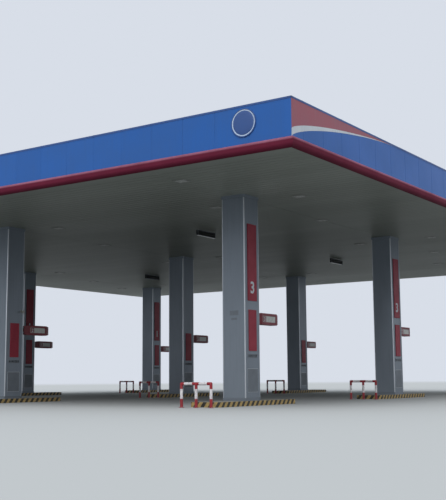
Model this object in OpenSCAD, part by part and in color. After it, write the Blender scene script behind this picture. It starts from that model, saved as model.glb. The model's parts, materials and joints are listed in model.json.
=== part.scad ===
// Filling station canopy on nine clad columns, with pump islands, fascia, soffit and low pitched roof.
// Millimetres, +Z up. The origin is on the ground under the middle of the canopy.
// The front is at -Y, and the drive lanes run along Y between the rows of columns.

/* [Column grid] */
// Distance between column rows, across the lanes
bay_x = 12000; // [9000:100:12000]
// Distance between columns along a lane
bay_y = 12400; // [9000:100:12400]
// Roof beyond the outer column rows, at the sides
overhang_x = 5300; // [3600:100:5300]
// Roof beyond the end columns, at the front and back
overhang_y = 5350; // [3800:100:5350]
// Clear height from the ground to the soffit
soffit_z = 7450; // [5600:50:7600]

/* [Islands] */
// Width of an island
island_w = 1200; // [1100:10:1400]
// Length of an island
island_l = 5100; // [4400:50:5600]
// How far an island's middle lies behind its column's middle
island_back = 250; // [0:10:500]
// Height of an island above the ground
island_h = 170; // [120:5:220]
// Thickness of the steel kerb plate round an island
kerb_t = 10; // [6:1:16]
// Corner radius of an island
island_r = 150; // [80:5:250]

/* [Island guards] */
// Outside diameter of the guard's tube
guard_d = 100; // [76:1:114]
// Height to the middle of the guard's top rail
guard_h = 780; // [600:10:900]
// Gap from the kerb plate to the guard's tube
guard_gap = 380; // [200:10:600]
// Thickness of the foot flange of a guard post
guard_foot_t = 10; // [6:1:16]

/* [Columns] */
// Outside width of the cladding
column_w = 940; // [860:10:1000]
// Thickness of the cladding with its frame
cladding_t = 60; // [40:5:80]
// Height of a cladding panel
cladding_panel_h = 2440; // [1800:20:3000]
// Width of a joint between cladding panels
cladding_joint_w = 10; // [6:1:16]
// Depth of a joint between cladding panels
cladding_joint_d = 6; // [3:1:10]
// Outside diameter of the steel column inside the cladding
core_d = 402; // [350:1:450]
// Wall of the steel column
core_t = 16; // [10:1:20]
// Width of the base and head plates of the steel column
core_plate_w = 500; // [460:10:560]
// Thickness of the base and head plates
core_plate_t = 30; // [20:1:40]
// Width of one leg of the bright corner trim
trim_w = 30; // [22:1:50]
// Thickness of the bright corner trim
trim_t = 6; // [3:1:10]
// Outside radius of the corner trim's rounded nose
trim_nose_r = 20; // [12:1:24]
// Height of the kick plate at the foot of a column
skirt_h = 100; // [60:5:200]
// Thickness of the kick plate
skirt_t = 8; // [4:1:14]
// Height of the collar under the soffit
collar_h = 110; // [60:5:200]
// Thickness of the collar
collar_t = 14; // [8:1:24]

/* [Column fittings] */
// Thickness of the sign boards
board_t = 25; // [15:1:40]
// Width of the tall upper board
number_board_w = 560; // [400:10:640]
// Lower edge of the upper board above the ground
number_board_z = 3660; // [3500:10:3700]
// Height of the upper board
number_board_h = 2740; // [2400:10:2800]
// Width of the lower board
notice_board_w = 470; // [350:10:560]
// Lower edge of the lower board above the ground
notice_board_z = 1900; // [1860:10:2000]
// Height of the lower board
notice_board_h = 1440; // [1200:10:1450]
// Width of the vent grille
vent_w = 600; // [400:10:640]
// Lower edge of the vent grille above the ground
vent_z = 1660; // [1500:10:1680]
// Height of the vent grille
vent_h = 130; // [100:5:150]
// Number of slots in the vent grille
vent_slots = 7; // [4:1:9]
// Width of the access hatch
hatch_w = 640; // [400:10:660]
// Lower edge of the access hatch above the ground
hatch_z = 480; // [460:10:560]
// Height of the access hatch
hatch_h = 790; // [500:10:850]
// Thickness of the access hatch and of the vent grille
hatch_t = 12; // [8:1:20]
// Length of a projecting number box
flag_l = 1470; // [1000:10:1500]
// Height of a projecting number box
flag_h = 420; // [300:10:460]
// Depth of a projecting number box
flag_t = 260; // [160:10:300]
// Lower edge of a projecting number box above the ground
flag_z = 2890; // [2700:10:3000]
// Length of the slanted ends of a number box
flag_end_l = 200; // [120:10:260]
// Width of the end faces of a number box
flag_end_w = 110; // [80:5:140]
// How far the top and bottom of a number box draw in at its ends
flag_end_in = 40; // [20:5:60]
// Length of the arms that carry a number box
flag_arm_l = 480; // [300:10:560]
// Width of a square arm
flag_arm_w = 60; // [40:5:80]

/* [Fascia] */
// Height from the soffit to the top of the coping
fascia_h = 1505; // [1400:5:1600]
// Thickness of the fascia panels
panel_t = 30; // [20:1:40]
// Distance between the joints of the fascia panels
panel_pitch = 1220; // [1000:10:1500]
// Width of a panel joint
joint_w = 12; // [8:1:20]
// Depth of a panel joint
joint_d = 8; // [4:1:12]
// Height of the edge band
band_h = 315; // [280:5:340]
// How far the edge band stands out from the fascia
band_out = 100; // [90:1:110]
// Sheet thickness of the edge band
band_t = 12; // [8:1:16]
// Radius of the edge band's lower nose
band_low_r = 130; // [115:1:145]
// Radius of the edge band's upper nose
band_top_r = 80; // [60:1:90]
// How far the edge band turns in under the soffit
band_return = 220; // [160:5:300]
// Width of the square fascia posts
post_w = 60; // [50:5:80]
// Distance between fascia posts, at most
post_pitch = 2440; // [1800:20:3000]
// Thickness of the lining behind the parapet
lining_t = 10; // [6:1:16]
// Joint between two linings at a corner
lining_gap = 5; // [3:1:10]
// Sheet thickness of the coping
coping_t = 8; // [5:1:12]
// Height of the coping's legs
coping_leg = 60; // [40:5:80]

/* [Colour fields] */
// Length of the swept colour field at each side corner
sweep_l = 6970; // [5000:10:7400]
// Rise of the sweep's lower curve at the corner
sweep_low = 10; // [5:1:80]
// Rise of the sweep's upper curve at the corner
sweep_high = 270; // [200:5:340]
// Thickness of the colour fields
field_t = 3; // [2:0.5:5]
// Diameter of the blank round badge
badge_d = 840; // [600:10:900]
// How far the badge stands out from the fascia
badge_out = 50; // [35:1:58]
// Width of the badge's flat rim
badge_rim = 50; // [30:5:80]
// Thickness of the badge's rim
badge_rim_t = 25; // [18:1:30]
// Thickness of the badge where the dome meets the rim
badge_base = 15; // [8:1:17]
// Distance from the corner to the badge's middle
badge_in = 1620; // [1000:10:3000]
// Gap between the badge and the coping above it
badge_gap = 65; // [20:5:120]

/* [Soffit] */
// Depth of the soffit panels
soffit_t = 40; // [30:1:60]
// Width of a soffit strip with its joint
strip_w = 300; // [200:5:400]
// Width of the joint between soffit strips, at the face
strip_joint_w = 24; // [12:1:30]
// Width of the joint between soffit strips, at its bottom
strip_joint_in = 10; // [4:1:12]
// Depth of the joint between soffit strips
strip_joint_d = 14; // [6:1:20]
// Gap between neighbouring soffit fields
soffit_gap = 20; // [10:1:40]
// Width of a soffit rail
rail_w = 60; // [40:5:80]
// Height of the soffit rails
rail_h = 120; // [80:5:160]
// Side of a soffit light's body
light_w = 400; // [300:10:440]
// Height of a soffit light's body
light_h = 100; // [70:5:110]
// Width of the light's flange under the soffit
light_lip = 30; // [20:1:50]
// Thickness of the light's flange
light_lip_t = 14; // [8:1:24]
// Thickness of the light's lens
lens_t = 8; // [5:1:10]
// Distance from a column row to each light of a pair
light_pair_x = 1830; // [1400:10:2200]
// Distance of a pair of lights behind its column, or before it on the back line
light_pair_y = 1150; // [1000:10:1250]
// Distance of the outermost lights beyond the end columns
light_end = 3500; // [3000:50:3550]

/* [Lane boards] */
// Length of a hung lane board
lane_board_l = 1350; // [900:10:1500]
// Height of a hung lane board
lane_board_h = 240; // [180:10:360]
// Thickness of a hung lane board
lane_board_t = 80; // [50:5:120]
// Gap between a hung board and the soffit
lane_board_drop = 30; // [20:5:200]
// Distance of a hung board from the middle of its bay, towards the side
lane_board_out = 500; // [0:10:900]
// Distance of a hung board from the middle of its bay, towards the front
lane_board_ahead = 600; // [0:10:900]
// Diameter of a hanger rod
hanger_d = 24; // [16:1:30]
// Distance between a board's hangers
hanger_pitch = 900; // [600:10:900]

/* [Roof] */
// Depth of the steel girders
girder_h = 400; // [350:10:440]
// Flange width of the girders
girder_w = 300; // [250:10:320]
// Flange thickness of the girders
flange_t = 20; // [14:1:25]
// Web thickness of the girders
web_t = 12; // [8:1:16]
// Thickness of the stiffener plates in the girders
stiffener_t = 14; // [8:1:20]
// Depth of the edge beams
edge_h = 300; // [240:10:340]
// Width of the edge beams
edge_w = 120; // [100:5:150]
// Wall of the edge beams
edge_t = 10; // [8:1:14]
// Fall of the roof in a thousand
roof_fall = 20; // [12:1:22]
// Thickness of the roof panels between their ribs
deck_t = 50; // [40:1:60]
// Distance between the ribs of the roof panels
rib_pitch = 500; // [400:10:700]
// Height of a roof rib
rib_h = 38; // [25:1:45]
// Width of a roof rib at its foot
rib_w = 70; // [50:1:90]
// Width of a roof rib at its top
rib_top_w = 30; // [20:1:45]
// Depth of a purlin
purlin_h = 160; // [140:5:180]
// Width of a purlin
purlin_w = 60; // [50:5:80]
// Wall of a purlin
purlin_t = 6; // [4:1:8]
// Number of purlins on each slope
purlin_n = 10; // [8:1:12]
// Height of the lowest purlin above the girders
purlin_lift = 70; // [50:5:90]
// Width of the gutters
gutter_w = 300; // [250:10:340]
// Sheet thickness of the gutters
gutter_t = 6; // [4:1:8]
// Depth of the gutters
gutter_h = 200; // [150:10:200]
// Half width of the ridge cap
ridge_w = 300; // [200:10:400]
// Sheet thickness of the ridge cap
ridge_t = 8; // [5:1:10]

/* [Hidden] */
$fn = 48;

eps = 1;
guard_pitch = island_w / 2;
canopy_w = 2 * (bay_x + overhang_x);
canopy_d = 2 * (bay_y + overhang_y);
rows = [-bay_x, 0, bay_x];
lines = [-bay_y, 0, bay_y];
girder_z = soffit_z + soffit_t + rail_h;
girder_top = girder_z + girder_h;
top_z = soffit_z + fascia_h;
parapet_z = top_z - coping_t;
panel_z = soffit_z + band_h;
frame_in = panel_t + post_w;
lining_in = frame_in + lining_t;
beam_in = frame_in + edge_w;
fall_angle = atan(roof_fall / 1000);
eave_x = canopy_w / 2 - lining_in - gutter_w;
slope_l = (eave_x + 50) / cos(fall_angle);
purlin_step = (eave_x - 2 * purlin_w - 100) / (purlin_n - 1);
low_purlin_x = 100 + (purlin_n - 1) * purlin_step;
deck_under = girder_top + purlin_lift + purlin_h + low_purlin_x * roof_fall / 1000;
sweep_top = fascia_h - band_h - coping_leg;
sweep_steps = 24;
sweep_power = 0.62;
badge_steps = 10;
light_spots = [for (x = rows)
    each concat([for (y = [-bay_y - light_end, -bay_y / 2, bay_y / 2, bay_y + light_end]) [x, y]],
        [for (y = lines, s = [-1, 1]) [x + s * light_pair_x, y + (y > 0 ? -1 : 1) * light_pair_y]])];

// A box given by its lowest and highest corner
module block(low, high) {
    translate(low) cube(high - low);
}

// A square tube along Z, open at both ends
module square_tube(w, wall, h) {
    difference() {
        block([-w / 2, -w / 2, 0], [w / 2, w / 2, h]);
        block([-w / 2 + wall, -w / 2 + wall, -eps], [w / 2 - wall, w / 2 - wall, h + eps]);
    }
}

// Puts its children at every column
module at_columns(at_rows = rows) {
    for (x = at_rows, y = lines) translate([x, y, 0]) children();
}

// Puts its children on both lane faces of a column, with -Y of the child pointing out of the face
module on_lane_faces() {
    for (a = [-90, 90]) rotate([0, 0, a]) translate([0, -column_w / 2, 0]) children();
}

// A plate standing out of the XZ plane towards -Y, centred on X
module face_plate(w, h, t) {
    block([-w / 2, -t, 0], [w / 2, 0, h]);
}

// Extrudes an outline along a side of the canopy. The outline's X points outwards from the
// fascia plane and its Y upwards. The ends are cut at 45 degrees, to meet the next side.
module mitred_run(length, out) {
    difference() {
        rotate([90, 0, 90]) translate([0, 0, -length / 2 - out])
            linear_extrude(length + 2 * out) mirror([1, 0]) children();
        for (s = [-1, 1]) translate([s * length / 2, 0, 0]) rotate([0, 0, s * 45])
            block([s > 0 ? 0 : -4 * band_return, -4 * band_return, -eps],
                [s > 0 ? 4 * band_return : 0, 4 * band_return, 2 * fascia_h]);
    }
}

// Puts a child made for the front on the front and the back
module on_ends() {
    for (a = [0, 180]) rotate([0, 0, a]) translate([0, -canopy_d / 2, 0]) children();
}

// Puts a child made for the front on the left and the right
module on_sides() {
    for (a = [-90, 90]) rotate([0, 0, a]) translate([0, -canopy_w / 2, 0]) children();
}

// I section, centred on X and standing on its lower flange
module girder_outline() {
    difference() {
        translate([-girder_w / 2, 0]) square([girder_w, girder_h]);
        for (s = [0, 1]) mirror([s, 0]) translate([web_t / 2, flange_t])
            square([girder_w, girder_h - 2 * flange_t]);
    }
}

// A straight member along Y, from y0 to y1
module along_y(y0, y1) {
    translate([0, y1, 0]) rotate([90, 0, 0]) linear_extrude(y1 - y0) children();
}

// A straight member along X, from x0 to x1
module along_x(x0, x1) {
    translate([x0, 0, 0]) rotate([90, 0, 90]) linear_extrude(x1 - x0) children();
}

// A rectangle with rounded corners, centred on the origin
module rounded_plan(w, l, r) {
    square([w - 2 * r, l], center = true);
    square([w, l - 2 * r], center = true);
    for (sx = [-1, 1], sy = [-1, 1]) translate([sx * (w / 2 - r), sy * (l / 2 - r)]) circle(r);
}

// Plan of an island, drawn in by the given distance
module island_plan(inset) {
    translate([0, island_back])
        rounded_plan(island_w - 2 * inset, island_l - 2 * inset, island_r - inset);
}

module islands() {
    color("darkgray") at_columns() linear_extrude(island_h) island_plan(kerb_t);
}

module kerb_plates() {
    color("gold") at_columns() linear_extrude(island_h) difference() {
        island_plan(0);
        island_plan(kerb_t);
    }
}

// Hoop of three posts and a rail that stands before an island's front end
module island_guard() {
    for (i = [-1:1]) translate([i * guard_pitch, 0, 0]) {
        cylinder(d = guard_d, h = guard_h);
        cylinder(d = 2 * guard_d, h = guard_foot_t);
    }
    translate([-guard_pitch, 0, guard_h]) rotate([0, 90, 0]) cylinder(d = guard_d, h = 2 * guard_pitch);
    for (i = [-1, 1]) translate([i * guard_pitch, 0, guard_h]) sphere(d = guard_d);
}

module island_guards() {
    color("firebrick") at_columns()
        translate([0, island_back - island_l / 2 - guard_gap - guard_d / 2, 0]) island_guard();
}

module column_cores() {
    h = girder_z - island_h;
    color("dimgray") at_columns() translate([0, 0, island_h]) {
        for (z = [0, h - core_plate_t]) translate([-core_plate_w / 2, -core_plate_w / 2, z])
            cube([core_plate_w, core_plate_w, core_plate_t]);
        difference() {
            cylinder(d = core_d, h = h);
            translate([0, 0, core_plate_t]) cylinder(d = core_d - 2 * core_t, h = h - 2 * core_plate_t);
        }
    }
}

// Plan of the cladding's outside, rounded to carry the corner trims
module cladding_plan() {
    rounded_plan(column_w, column_w, trim_nose_r - trim_t);
}

// Cladding of one column row, with level joints between its panels
module cladding(row) {
    h = soffit_z - island_h;
    in = column_w / 2 - cladding_t;
    color("slategray") at_columns([row]) translate([0, 0, island_h]) difference() {
        linear_extrude(h) cladding_plan();
        block([-in, -in, -eps], [in, in, h + eps]);
        for (z = [cladding_panel_h:cladding_panel_h:h - collar_h - cladding_joint_w])
            translate([0, 0, z])
                square_tube(column_w + 2 * eps, cladding_joint_d + eps, cladding_joint_w);
    }
}

module cladding_left() {
    cladding(-bay_x);
}

module cladding_middle() {
    cladding(0);
}

module cladding_right() {
    cladding(bay_x);
}

module corner_trims() {
    z0 = island_h + skirt_h;
    w = column_w + 2 * trim_t;
    leg = trim_w + trim_t;
    color("gainsboro") at_columns() translate([0, 0, z0]) linear_extrude(soffit_z - collar_h - z0)
        intersection() {
            difference() {
                rounded_plan(w, w, trim_nose_r);
                cladding_plan();
            }
            for (sx = [-1, 1], sy = [-1, 1])
                translate([sx * (w - leg) / 2, sy * (w - leg) / 2]) square(leg, center = true);
        }
}

module kick_plates() {
    color("dimgray") at_columns() translate([0, 0, island_h])
        square_tube(column_w + 2 * skirt_t, skirt_t, skirt_h);
}

module column_collars() {
    color("slategray") at_columns() translate([0, 0, soffit_z - collar_h])
        square_tube(column_w + 2 * collar_t, collar_t, collar_h);
}

module number_boards() {
    color("firebrick") at_columns() on_lane_faces() translate([0, 0, number_board_z])
        face_plate(number_board_w, number_board_h, board_t);
}

module notice_boards() {
    color("firebrick") at_columns() on_lane_faces() translate([0, 0, notice_board_z])
        face_plate(notice_board_w, notice_board_h, board_t);
}

module vent_grilles() {
    slot = vent_w / (2 * vent_slots + 1);
    color("dimgray") at_columns() on_lane_faces() translate([0, 0, vent_z]) difference() {
        face_plate(vent_w, vent_h, hatch_t);
        for (i = [0:vent_slots - 1])
            translate([-vent_w / 2 + (2 * i + 1) * slot, -hatch_t - eps, vent_h / 5])
                cube([slot, hatch_t + 2 * eps, vent_h * 3 / 5]);
    }
}

module access_hatches() {
    color("lightslategray") at_columns() on_lane_faces() translate([0, 0, hatch_z])
        face_plate(hatch_w, hatch_h, hatch_t);
}

// Outline of a number box along X, with its full width drawn in to the end width at both ends
module flag_outline(full, end) {
    a = full / 2;
    b = end / 2;
    x1 = flag_l - flag_end_l;
    polygon([[0, -b], [flag_end_l, -a], [x1, -a], [flag_l, -b],
        [flag_l, b], [x1, a], [flag_end_l, a], [0, b]]);
}

// The number boxes, each the space that its plan and its side view have in common
module flag_boxes() {
    color("firebrick") at_columns() translate([0, column_w / 2 + flag_arm_l, flag_z]) intersection() {
        linear_extrude(flag_h) rotate(90) flag_outline(flag_t, flag_end_w);
        translate([-flag_t / 2, 0, flag_h / 2]) rotate([90, 0, 90])
            linear_extrude(flag_t) flag_outline(flag_h, flag_h - 2 * flag_end_in);
    }
}

module flag_arms() {
    color("dimgray") at_columns() for (z = [flag_h / 4, flag_h * 3 / 4])
        translate([0, column_w / 2, flag_z + z])
            block([-flag_arm_w / 2, 0, -flag_arm_w / 2], [flag_arm_w / 2, flag_arm_l, flag_arm_w / 2]);
}

// Stiffener plates on both sides of a girder's web, over the edges of a column's head plate
module head_stiffeners() {
    h = girder_h - 2 * flange_t + 2 * eps;
    for (y = lines, s = [-1, 1])
        translate([0, y + s * (core_plate_w - stiffener_t) / 2, girder_h / 2])
            cube([girder_w, stiffener_t, h], center = true);
}

module main_girders() {
    y1 = canopy_d / 2 - beam_in;
    color("darkslategray") for (x = rows) translate([x, 0, girder_z]) {
        along_y(-y1, y1) girder_outline();
        head_stiffeners();
    }
}

module cross_girders() {
    half = girder_w / 2;
    edge = canopy_w / 2 - beam_in;
    spans = [[-edge, -bay_x - half], [-bay_x + half, -half], [half, bay_x - half], [bay_x + half, edge]];
    color("darkslategray") for (y = lines, s = spans) translate([0, y, girder_z])
        along_x(s[0], s[1]) girder_outline();
}

// Hollow rectangular outline of an edge beam, with its outer face on Y and its body inwards
module edge_beam_outline() {
    difference() {
        translate([-edge_w, 0]) square([edge_w, edge_h]);
        translate([edge_t - edge_w, edge_t]) square([edge_w - 2 * edge_t, edge_h - 2 * edge_t]);
    }
}

module edge_beams_ends() {
    x1 = canopy_w / 2 - frame_in;
    color("darkslategray") for (s = [0, 1]) mirror([0, s, 0])
        translate([0, canopy_d / 2 - frame_in, girder_z]) along_x(-x1, x1) edge_beam_outline();
}

module edge_beams_sides() {
    y1 = canopy_d / 2 - beam_in;
    color("darkslategray") for (s = [0, 1]) mirror([s, 0, 0])
        translate([canopy_w / 2 - frame_in, 0, girder_z]) along_y(-y1, y1) edge_beam_outline();
}

module soffit_rails() {
    step = bay_y / 8;
    n = floor((canopy_d / 2 - band_return - rail_w / 2) / step - 0.5);
    half = canopy_w / 2 - beam_in;
    color("silver") for (i = [-n - 1:n]) translate([0, (i + 0.5) * step, soffit_z + soffit_t])
        block([-half, -rail_w / 2, 0], [half, rail_w / 2, rail_h]);
}

// Row of posts behind one side of the fascia
module post_row(length) {
    n = ceil(length / post_pitch);
    for (i = [0:n - 1]) translate([(i + 0.5) * length / n - length / 2, 0, 0])
        block([-post_w / 2, panel_t, soffit_z + band_t], [post_w / 2, frame_in, parapet_z]);
}

module fascia_posts() {
    color("silver") {
        on_ends() post_row(canopy_w);
        on_sides() post_row(canopy_d);
    }
}

// C section with its top on X and its body below
module purlin_outline() {
    difference() {
        translate([-purlin_w / 2, -purlin_h]) square([purlin_w, purlin_h]);
        translate([-purlin_w / 2 + purlin_t, purlin_t - purlin_h])
            square([purlin_w, purlin_h - 2 * purlin_t]);
    }
}

module purlins() {
    y1 = canopy_d / 2 - lining_in - 10;
    color("silver") for (side = [0, 1], i = [0:purlin_n - 1]) mirror([side, 0, 0]) {
        x = 100 + i * purlin_step;
        top = deck_under - x * roof_fall / 1000;
        translate([x, 0, top]) rotate([0, fall_angle, 0]) along_y(-y1, y1) purlin_outline();
        for (y = lines)
            block([x - purlin_w / 2, y - purlin_w, girder_top],
                [x + purlin_w / 2, y + purlin_w, top - purlin_h + purlin_t]);
    }
}

module light_holes() {
    for (p = light_spots) translate([p[0] - light_w / 2, p[1] - light_w / 2, -eps])
        cube([light_w, light_w, soffit_t + 2 * eps]);
}

// Square openings that let the steel columns through, inside the cladding
module column_holes() {
    w = column_w - 2 * cladding_t;
    for (x = rows, y = lines) translate([x - w / 2, y - w / 2, -eps]) cube([w, w, soffit_t + 2 * eps]);
}

// Outline across the soffit strips, from -half to half, with a joint between neighbours
function strip_outline(half) =
    let (n = floor((half - strip_w / 2) / strip_w), a = strip_joint_w / 2, b = strip_joint_in / 2)
        concat([[half, soffit_t], [-half, soffit_t], [-half, 0]],
            [for (i = [-n:n]) let (y = i * strip_w)
                each [[y - a, 0], [y - b, strip_joint_d], [y + b, strip_joint_d], [y + a, 0]]],
            [[half, 0]]);

// One soffit field, from x0 to x1, with openings for the lights and the columns
module soffit_field(x0, x1) {
    translate([0, 0, soffit_z]) difference() {
        along_x(x0, x1) polygon(strip_outline(canopy_d / 2 - band_return));
        light_holes();
        column_holes();
    }
}

module soffit_lanes() {
    x0 = soffit_gap / 2;
    color("dimgray") for (s = [-1, 1])
        soffit_field(s > 0 ? x0 : x0 - bay_x, s > 0 ? bay_x - x0 : -x0);
}

module soffit_edges() {
    x0 = bay_x + soffit_gap / 2;
    x1 = canopy_w / 2 - band_return;
    color("dimgray") for (s = [-1, 1])
        soffit_field(s > 0 ? x0 : -x1, s > 0 ? x1 : -x0);
}

module light_bodies() {
    lip_w = light_w + 2 * light_lip;
    color("gainsboro") for (p = light_spots) translate([p[0], p[1], soffit_z]) difference() {
        union() {
            block([-lip_w / 2, -lip_w / 2, -light_lip_t], [lip_w / 2, lip_w / 2, 0]);
            block([-light_w / 2, -light_w / 2, -light_lip_t], [light_w / 2, light_w / 2, light_h]);
        }
        block([-light_w / 2 + light_lip, -light_w / 2 + light_lip, -light_lip_t - eps],
            [light_w / 2 - light_lip, light_w / 2 - light_lip, lens_t - light_lip_t]);
    }
}

module light_lenses() {
    w = light_w - 2 * light_lip;
    color("white") for (p = light_spots) translate([p[0], p[1], soffit_z - light_lip_t])
        block([-w / 2, -w / 2, 0], [w / 2, w / 2, lens_t]);
}

// Puts its children under the soffit at the place of each hung board
module at_boards() {
    for (s = [-1, 1], y = [-bay_y / 2, bay_y / 2])
        translate([s * (bay_x / 2 + lane_board_out), y - lane_board_ahead, soffit_z]) children();
}

module lane_boards() {
    color("black") at_boards() translate([0, 0, -lane_board_drop - lane_board_h / 2])
        cube([lane_board_t, lane_board_l, lane_board_h], center = true);
}

module lane_hangers() {
    color("silver") at_boards() for (s = [-1, 1])
        translate([0, s * hanger_pitch / 2, -lane_board_drop])
            cylinder(d = hanger_d, h = lane_board_drop);
}

// One side of the fascia with its vertical panel joints, its outer face on the XZ plane
module fascia_side(length) {
    n = floor(length / 2 / panel_pitch - 0.2);
    difference() {
        block([-length / 2, 0, panel_z], [length / 2, panel_t, parapet_z]);
        for (i = [-n:n]) translate([i * panel_pitch - joint_w / 2, -eps, panel_z - eps])
            cube([joint_w, joint_d + eps, fascia_h]);
    }
}

module fascia_front() {
    color("royalblue") translate([0, -canopy_d / 2, 0]) fascia_side(canopy_w);
}

module fascia_back() {
    color("royalblue") rotate([0, 0, 180]) translate([0, -canopy_d / 2, 0]) fascia_side(canopy_w);
}

module fascia_left() {
    color("royalblue") rotate([0, 0, -90]) translate([0, -canopy_w / 2, 0])
        fascia_side(canopy_d - 2 * panel_t);
}

module fascia_right() {
    color("royalblue") rotate([0, 0, 90]) translate([0, -canopy_w / 2, 0])
        fascia_side(canopy_d - 2 * panel_t);
}

// Points of a sweep that rises from the corner to the coping, from its low end
function sweep(rise) = [for (i = [0:sweep_steps])
    let (t = i / sweep_steps) [t * t * sweep_l, rise + (sweep_top - rise) * pow(t * t, sweep_power)]];

// Puts an outline on the side fascias, at each corner. Its X runs from the corner along the side.
module at_side_corners() {
    on_sides() for (s = [0, 1]) mirror([s, 0, 0])
        translate([-canopy_d / 2, 0, panel_z]) rotate([90, 0, 0]) linear_extrude(field_t) children();
}

module white_sweeps() {
    low = sweep(sweep_low);
    high = sweep(sweep_high);
    color("white") at_side_corners()
        polygon(concat(low, [for (i = [sweep_steps - 1:-1:0]) high[i]]));
}

module red_fields() {
    color("indianred") at_side_corners() polygon(concat(sweep(sweep_high), [[0, sweep_top]]));
}

// Plain domed disc with a rim and no marking, turned from one outline
module blank_badge() {
    z = top_z - coping_leg - badge_gap - badge_d / 2;
    r = badge_d / 2 - badge_rim;
    dome = [for (i = [0:badge_steps]) let (a = 90 * i / badge_steps)
        [r * sin(a), badge_base + (badge_out - badge_base) * cos(a)]];
    color("aliceblue") translate([canopy_w / 2 - badge_in, -canopy_d / 2, z])
        rotate([90, 0, 0]) rotate_extrude() polygon(concat([[0, 0]], dome,
            [[r, badge_rim_t], [badge_d / 2, badge_rim_t], [badge_d / 2, 0]]));
}

// Outline of the bull-nosed band, with rounded lower and upper outer corners
module nose_outline(inset) {
    low_r = band_low_r - inset;
    top_r = band_top_r - inset;
    out = band_out - inset;
    translate([-band_return, inset]) square([band_return + out - low_r, band_h - 2 * inset]);
    translate([out - low_r - eps, band_low_r]) square([low_r + eps, band_h - band_low_r - band_top_r]);
    translate([out - low_r - eps, band_low_r])
        square([low_r - top_r + eps, band_h - inset - band_low_r]);
    translate([out - low_r, inset + low_r]) circle(low_r);
    translate([out - top_r, band_h - inset - top_r]) circle(top_r);
}

// Folded sheet of the edge band: a short leg under the panel, a rounded face and a soffit return
module band_outline() {
    difference() {
        nose_outline(0);
        nose_outline(band_t);
        translate([-band_return - eps, band_t]) square([band_return + eps - panel_t, band_h]);
    }
}

module edge_bands_ends() {
    color("firebrick") on_ends() translate([0, 0, soffit_z])
        mitred_run(canopy_w, band_out) band_outline();
}

module edge_bands_sides() {
    color("firebrick") on_sides() translate([0, 0, soffit_z])
        mitred_run(canopy_d, band_out) band_outline();
}

// Folded cap over the fascia, its posts and the lining
module coping_outline() {
    w = lining_in + 2 * coping_t;
    translate([-lining_in - coping_t, -coping_t]) square([w, coping_t]);
    for (x = [-lining_in - coping_t, 0]) translate([x, -coping_leg]) square([coping_t, coping_leg]);
}

module copings_ends() {
    color("dimgray") on_ends() translate([0, 0, top_z]) mitred_run(canopy_w, coping_t) coping_outline();
}

module copings_sides() {
    color("dimgray") on_sides() translate([0, 0, top_z]) mitred_run(canopy_d, coping_t) coping_outline();
}

module lining_side(length) {
    block([-length / 2, frame_in, girder_top - 40], [length / 2, lining_in, parapet_z]);
}

module parapet_linings() {
    color("silver") {
        on_ends() lining_side(canopy_w - 2 * frame_in);
        on_sides() lining_side(canopy_d - 2 * lining_in - 2 * lining_gap);
    }
}

// Section across the ribs of the roof, from y0 to y1, standing on Y
module deck_outline(y0, y1) {
    n = floor((y1 - y0) / 2 / rib_pitch - 0.2);
    translate([y0, 0]) square([y1 - y0, deck_t]);
    for (i = [-n:n]) translate([i * rib_pitch, deck_t]) polygon([[-rib_w / 2, -eps], [rib_w / 2, -eps],
        [rib_top_w / 2, rib_h], [-rib_top_w / 2, rib_h]]);
}

// One slope of the roof, from the ridge towards +X
module roof_slope() {
    y1 = canopy_d / 2 - lining_in - 10;
    translate([0, 0, deck_under]) rotate([0, fall_angle, 0]) along_x(5, slope_l) deck_outline(-y1, y1);
}

module roof_deck_left() {
    color("lightsteelblue") mirror([1, 0, 0]) roof_slope();
}

module roof_deck_right() {
    color("lightsteelblue") roof_slope();
}

module ridge_cap() {
    y1 = canopy_d / 2 - lining_in - 10;
    drop = ridge_w * roof_fall / 1000;
    rise = (deck_t + rib_h) / cos(fall_angle);
    color("lightsteelblue") translate([0, 0, deck_under + rise]) along_y(-y1, y1)
        polygon([[-ridge_w, -drop], [0, 0], [ridge_w, -drop],
            [ridge_w, ridge_t - drop], [0, ridge_t], [-ridge_w, ridge_t - drop]]);
}

module gutters() {
    y1 = canopy_d / 2 - lining_in;
    color("silver") for (s = [0, 1]) mirror([s, 0, 0]) difference() {
        block([eave_x, -y1, girder_top], [eave_x + gutter_w, y1, girder_top + gutter_h]);
        block([eave_x + gutter_t, gutter_t - y1, girder_top + gutter_t],
            [eave_x + gutter_w - gutter_t, y1 - gutter_t, girder_top + gutter_h + eps]);
    }
}

islands();
kerb_plates();
island_guards();
column_cores();
cladding_left();
cladding_middle();
cladding_right();
corner_trims();
kick_plates();
column_collars();
number_boards();
notice_boards();
vent_grilles();
access_hatches();
flag_boxes();
flag_arms();
main_girders();
cross_girders();
edge_beams_ends();
edge_beams_sides();
soffit_rails();
fascia_posts();
purlins();
soffit_lanes();
soffit_edges();
light_bodies();
light_lenses();
lane_boards();
lane_hangers();
fascia_front();
fascia_back();
fascia_left();
fascia_right();
white_sweeps();
red_fields();
blank_badge();
edge_bands_ends();
edge_bands_sides();
copings_ends();
copings_sides();
parapet_linings();
roof_deck_left();
roof_deck_right();
ridge_cap();
gutters();
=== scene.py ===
"""Finishes and small parts of a filling station canopy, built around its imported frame.

Lengths are metres and +Z is up. The front is at -Y, and the drive lanes run along Y. Sizes that the frame
settles are read from its nodes. Each sub-assembly is a class with the sizes of its parts as fields.
"""

from __future__ import annotations

import sys
import json
import logging
import math
from dataclasses import dataclass
from enum import Enum
from itertools import product
from typing import Any, Iterable, Iterator, Sequence

import bmesh
import bpy
from mathutils import Matrix, Vector


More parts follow.
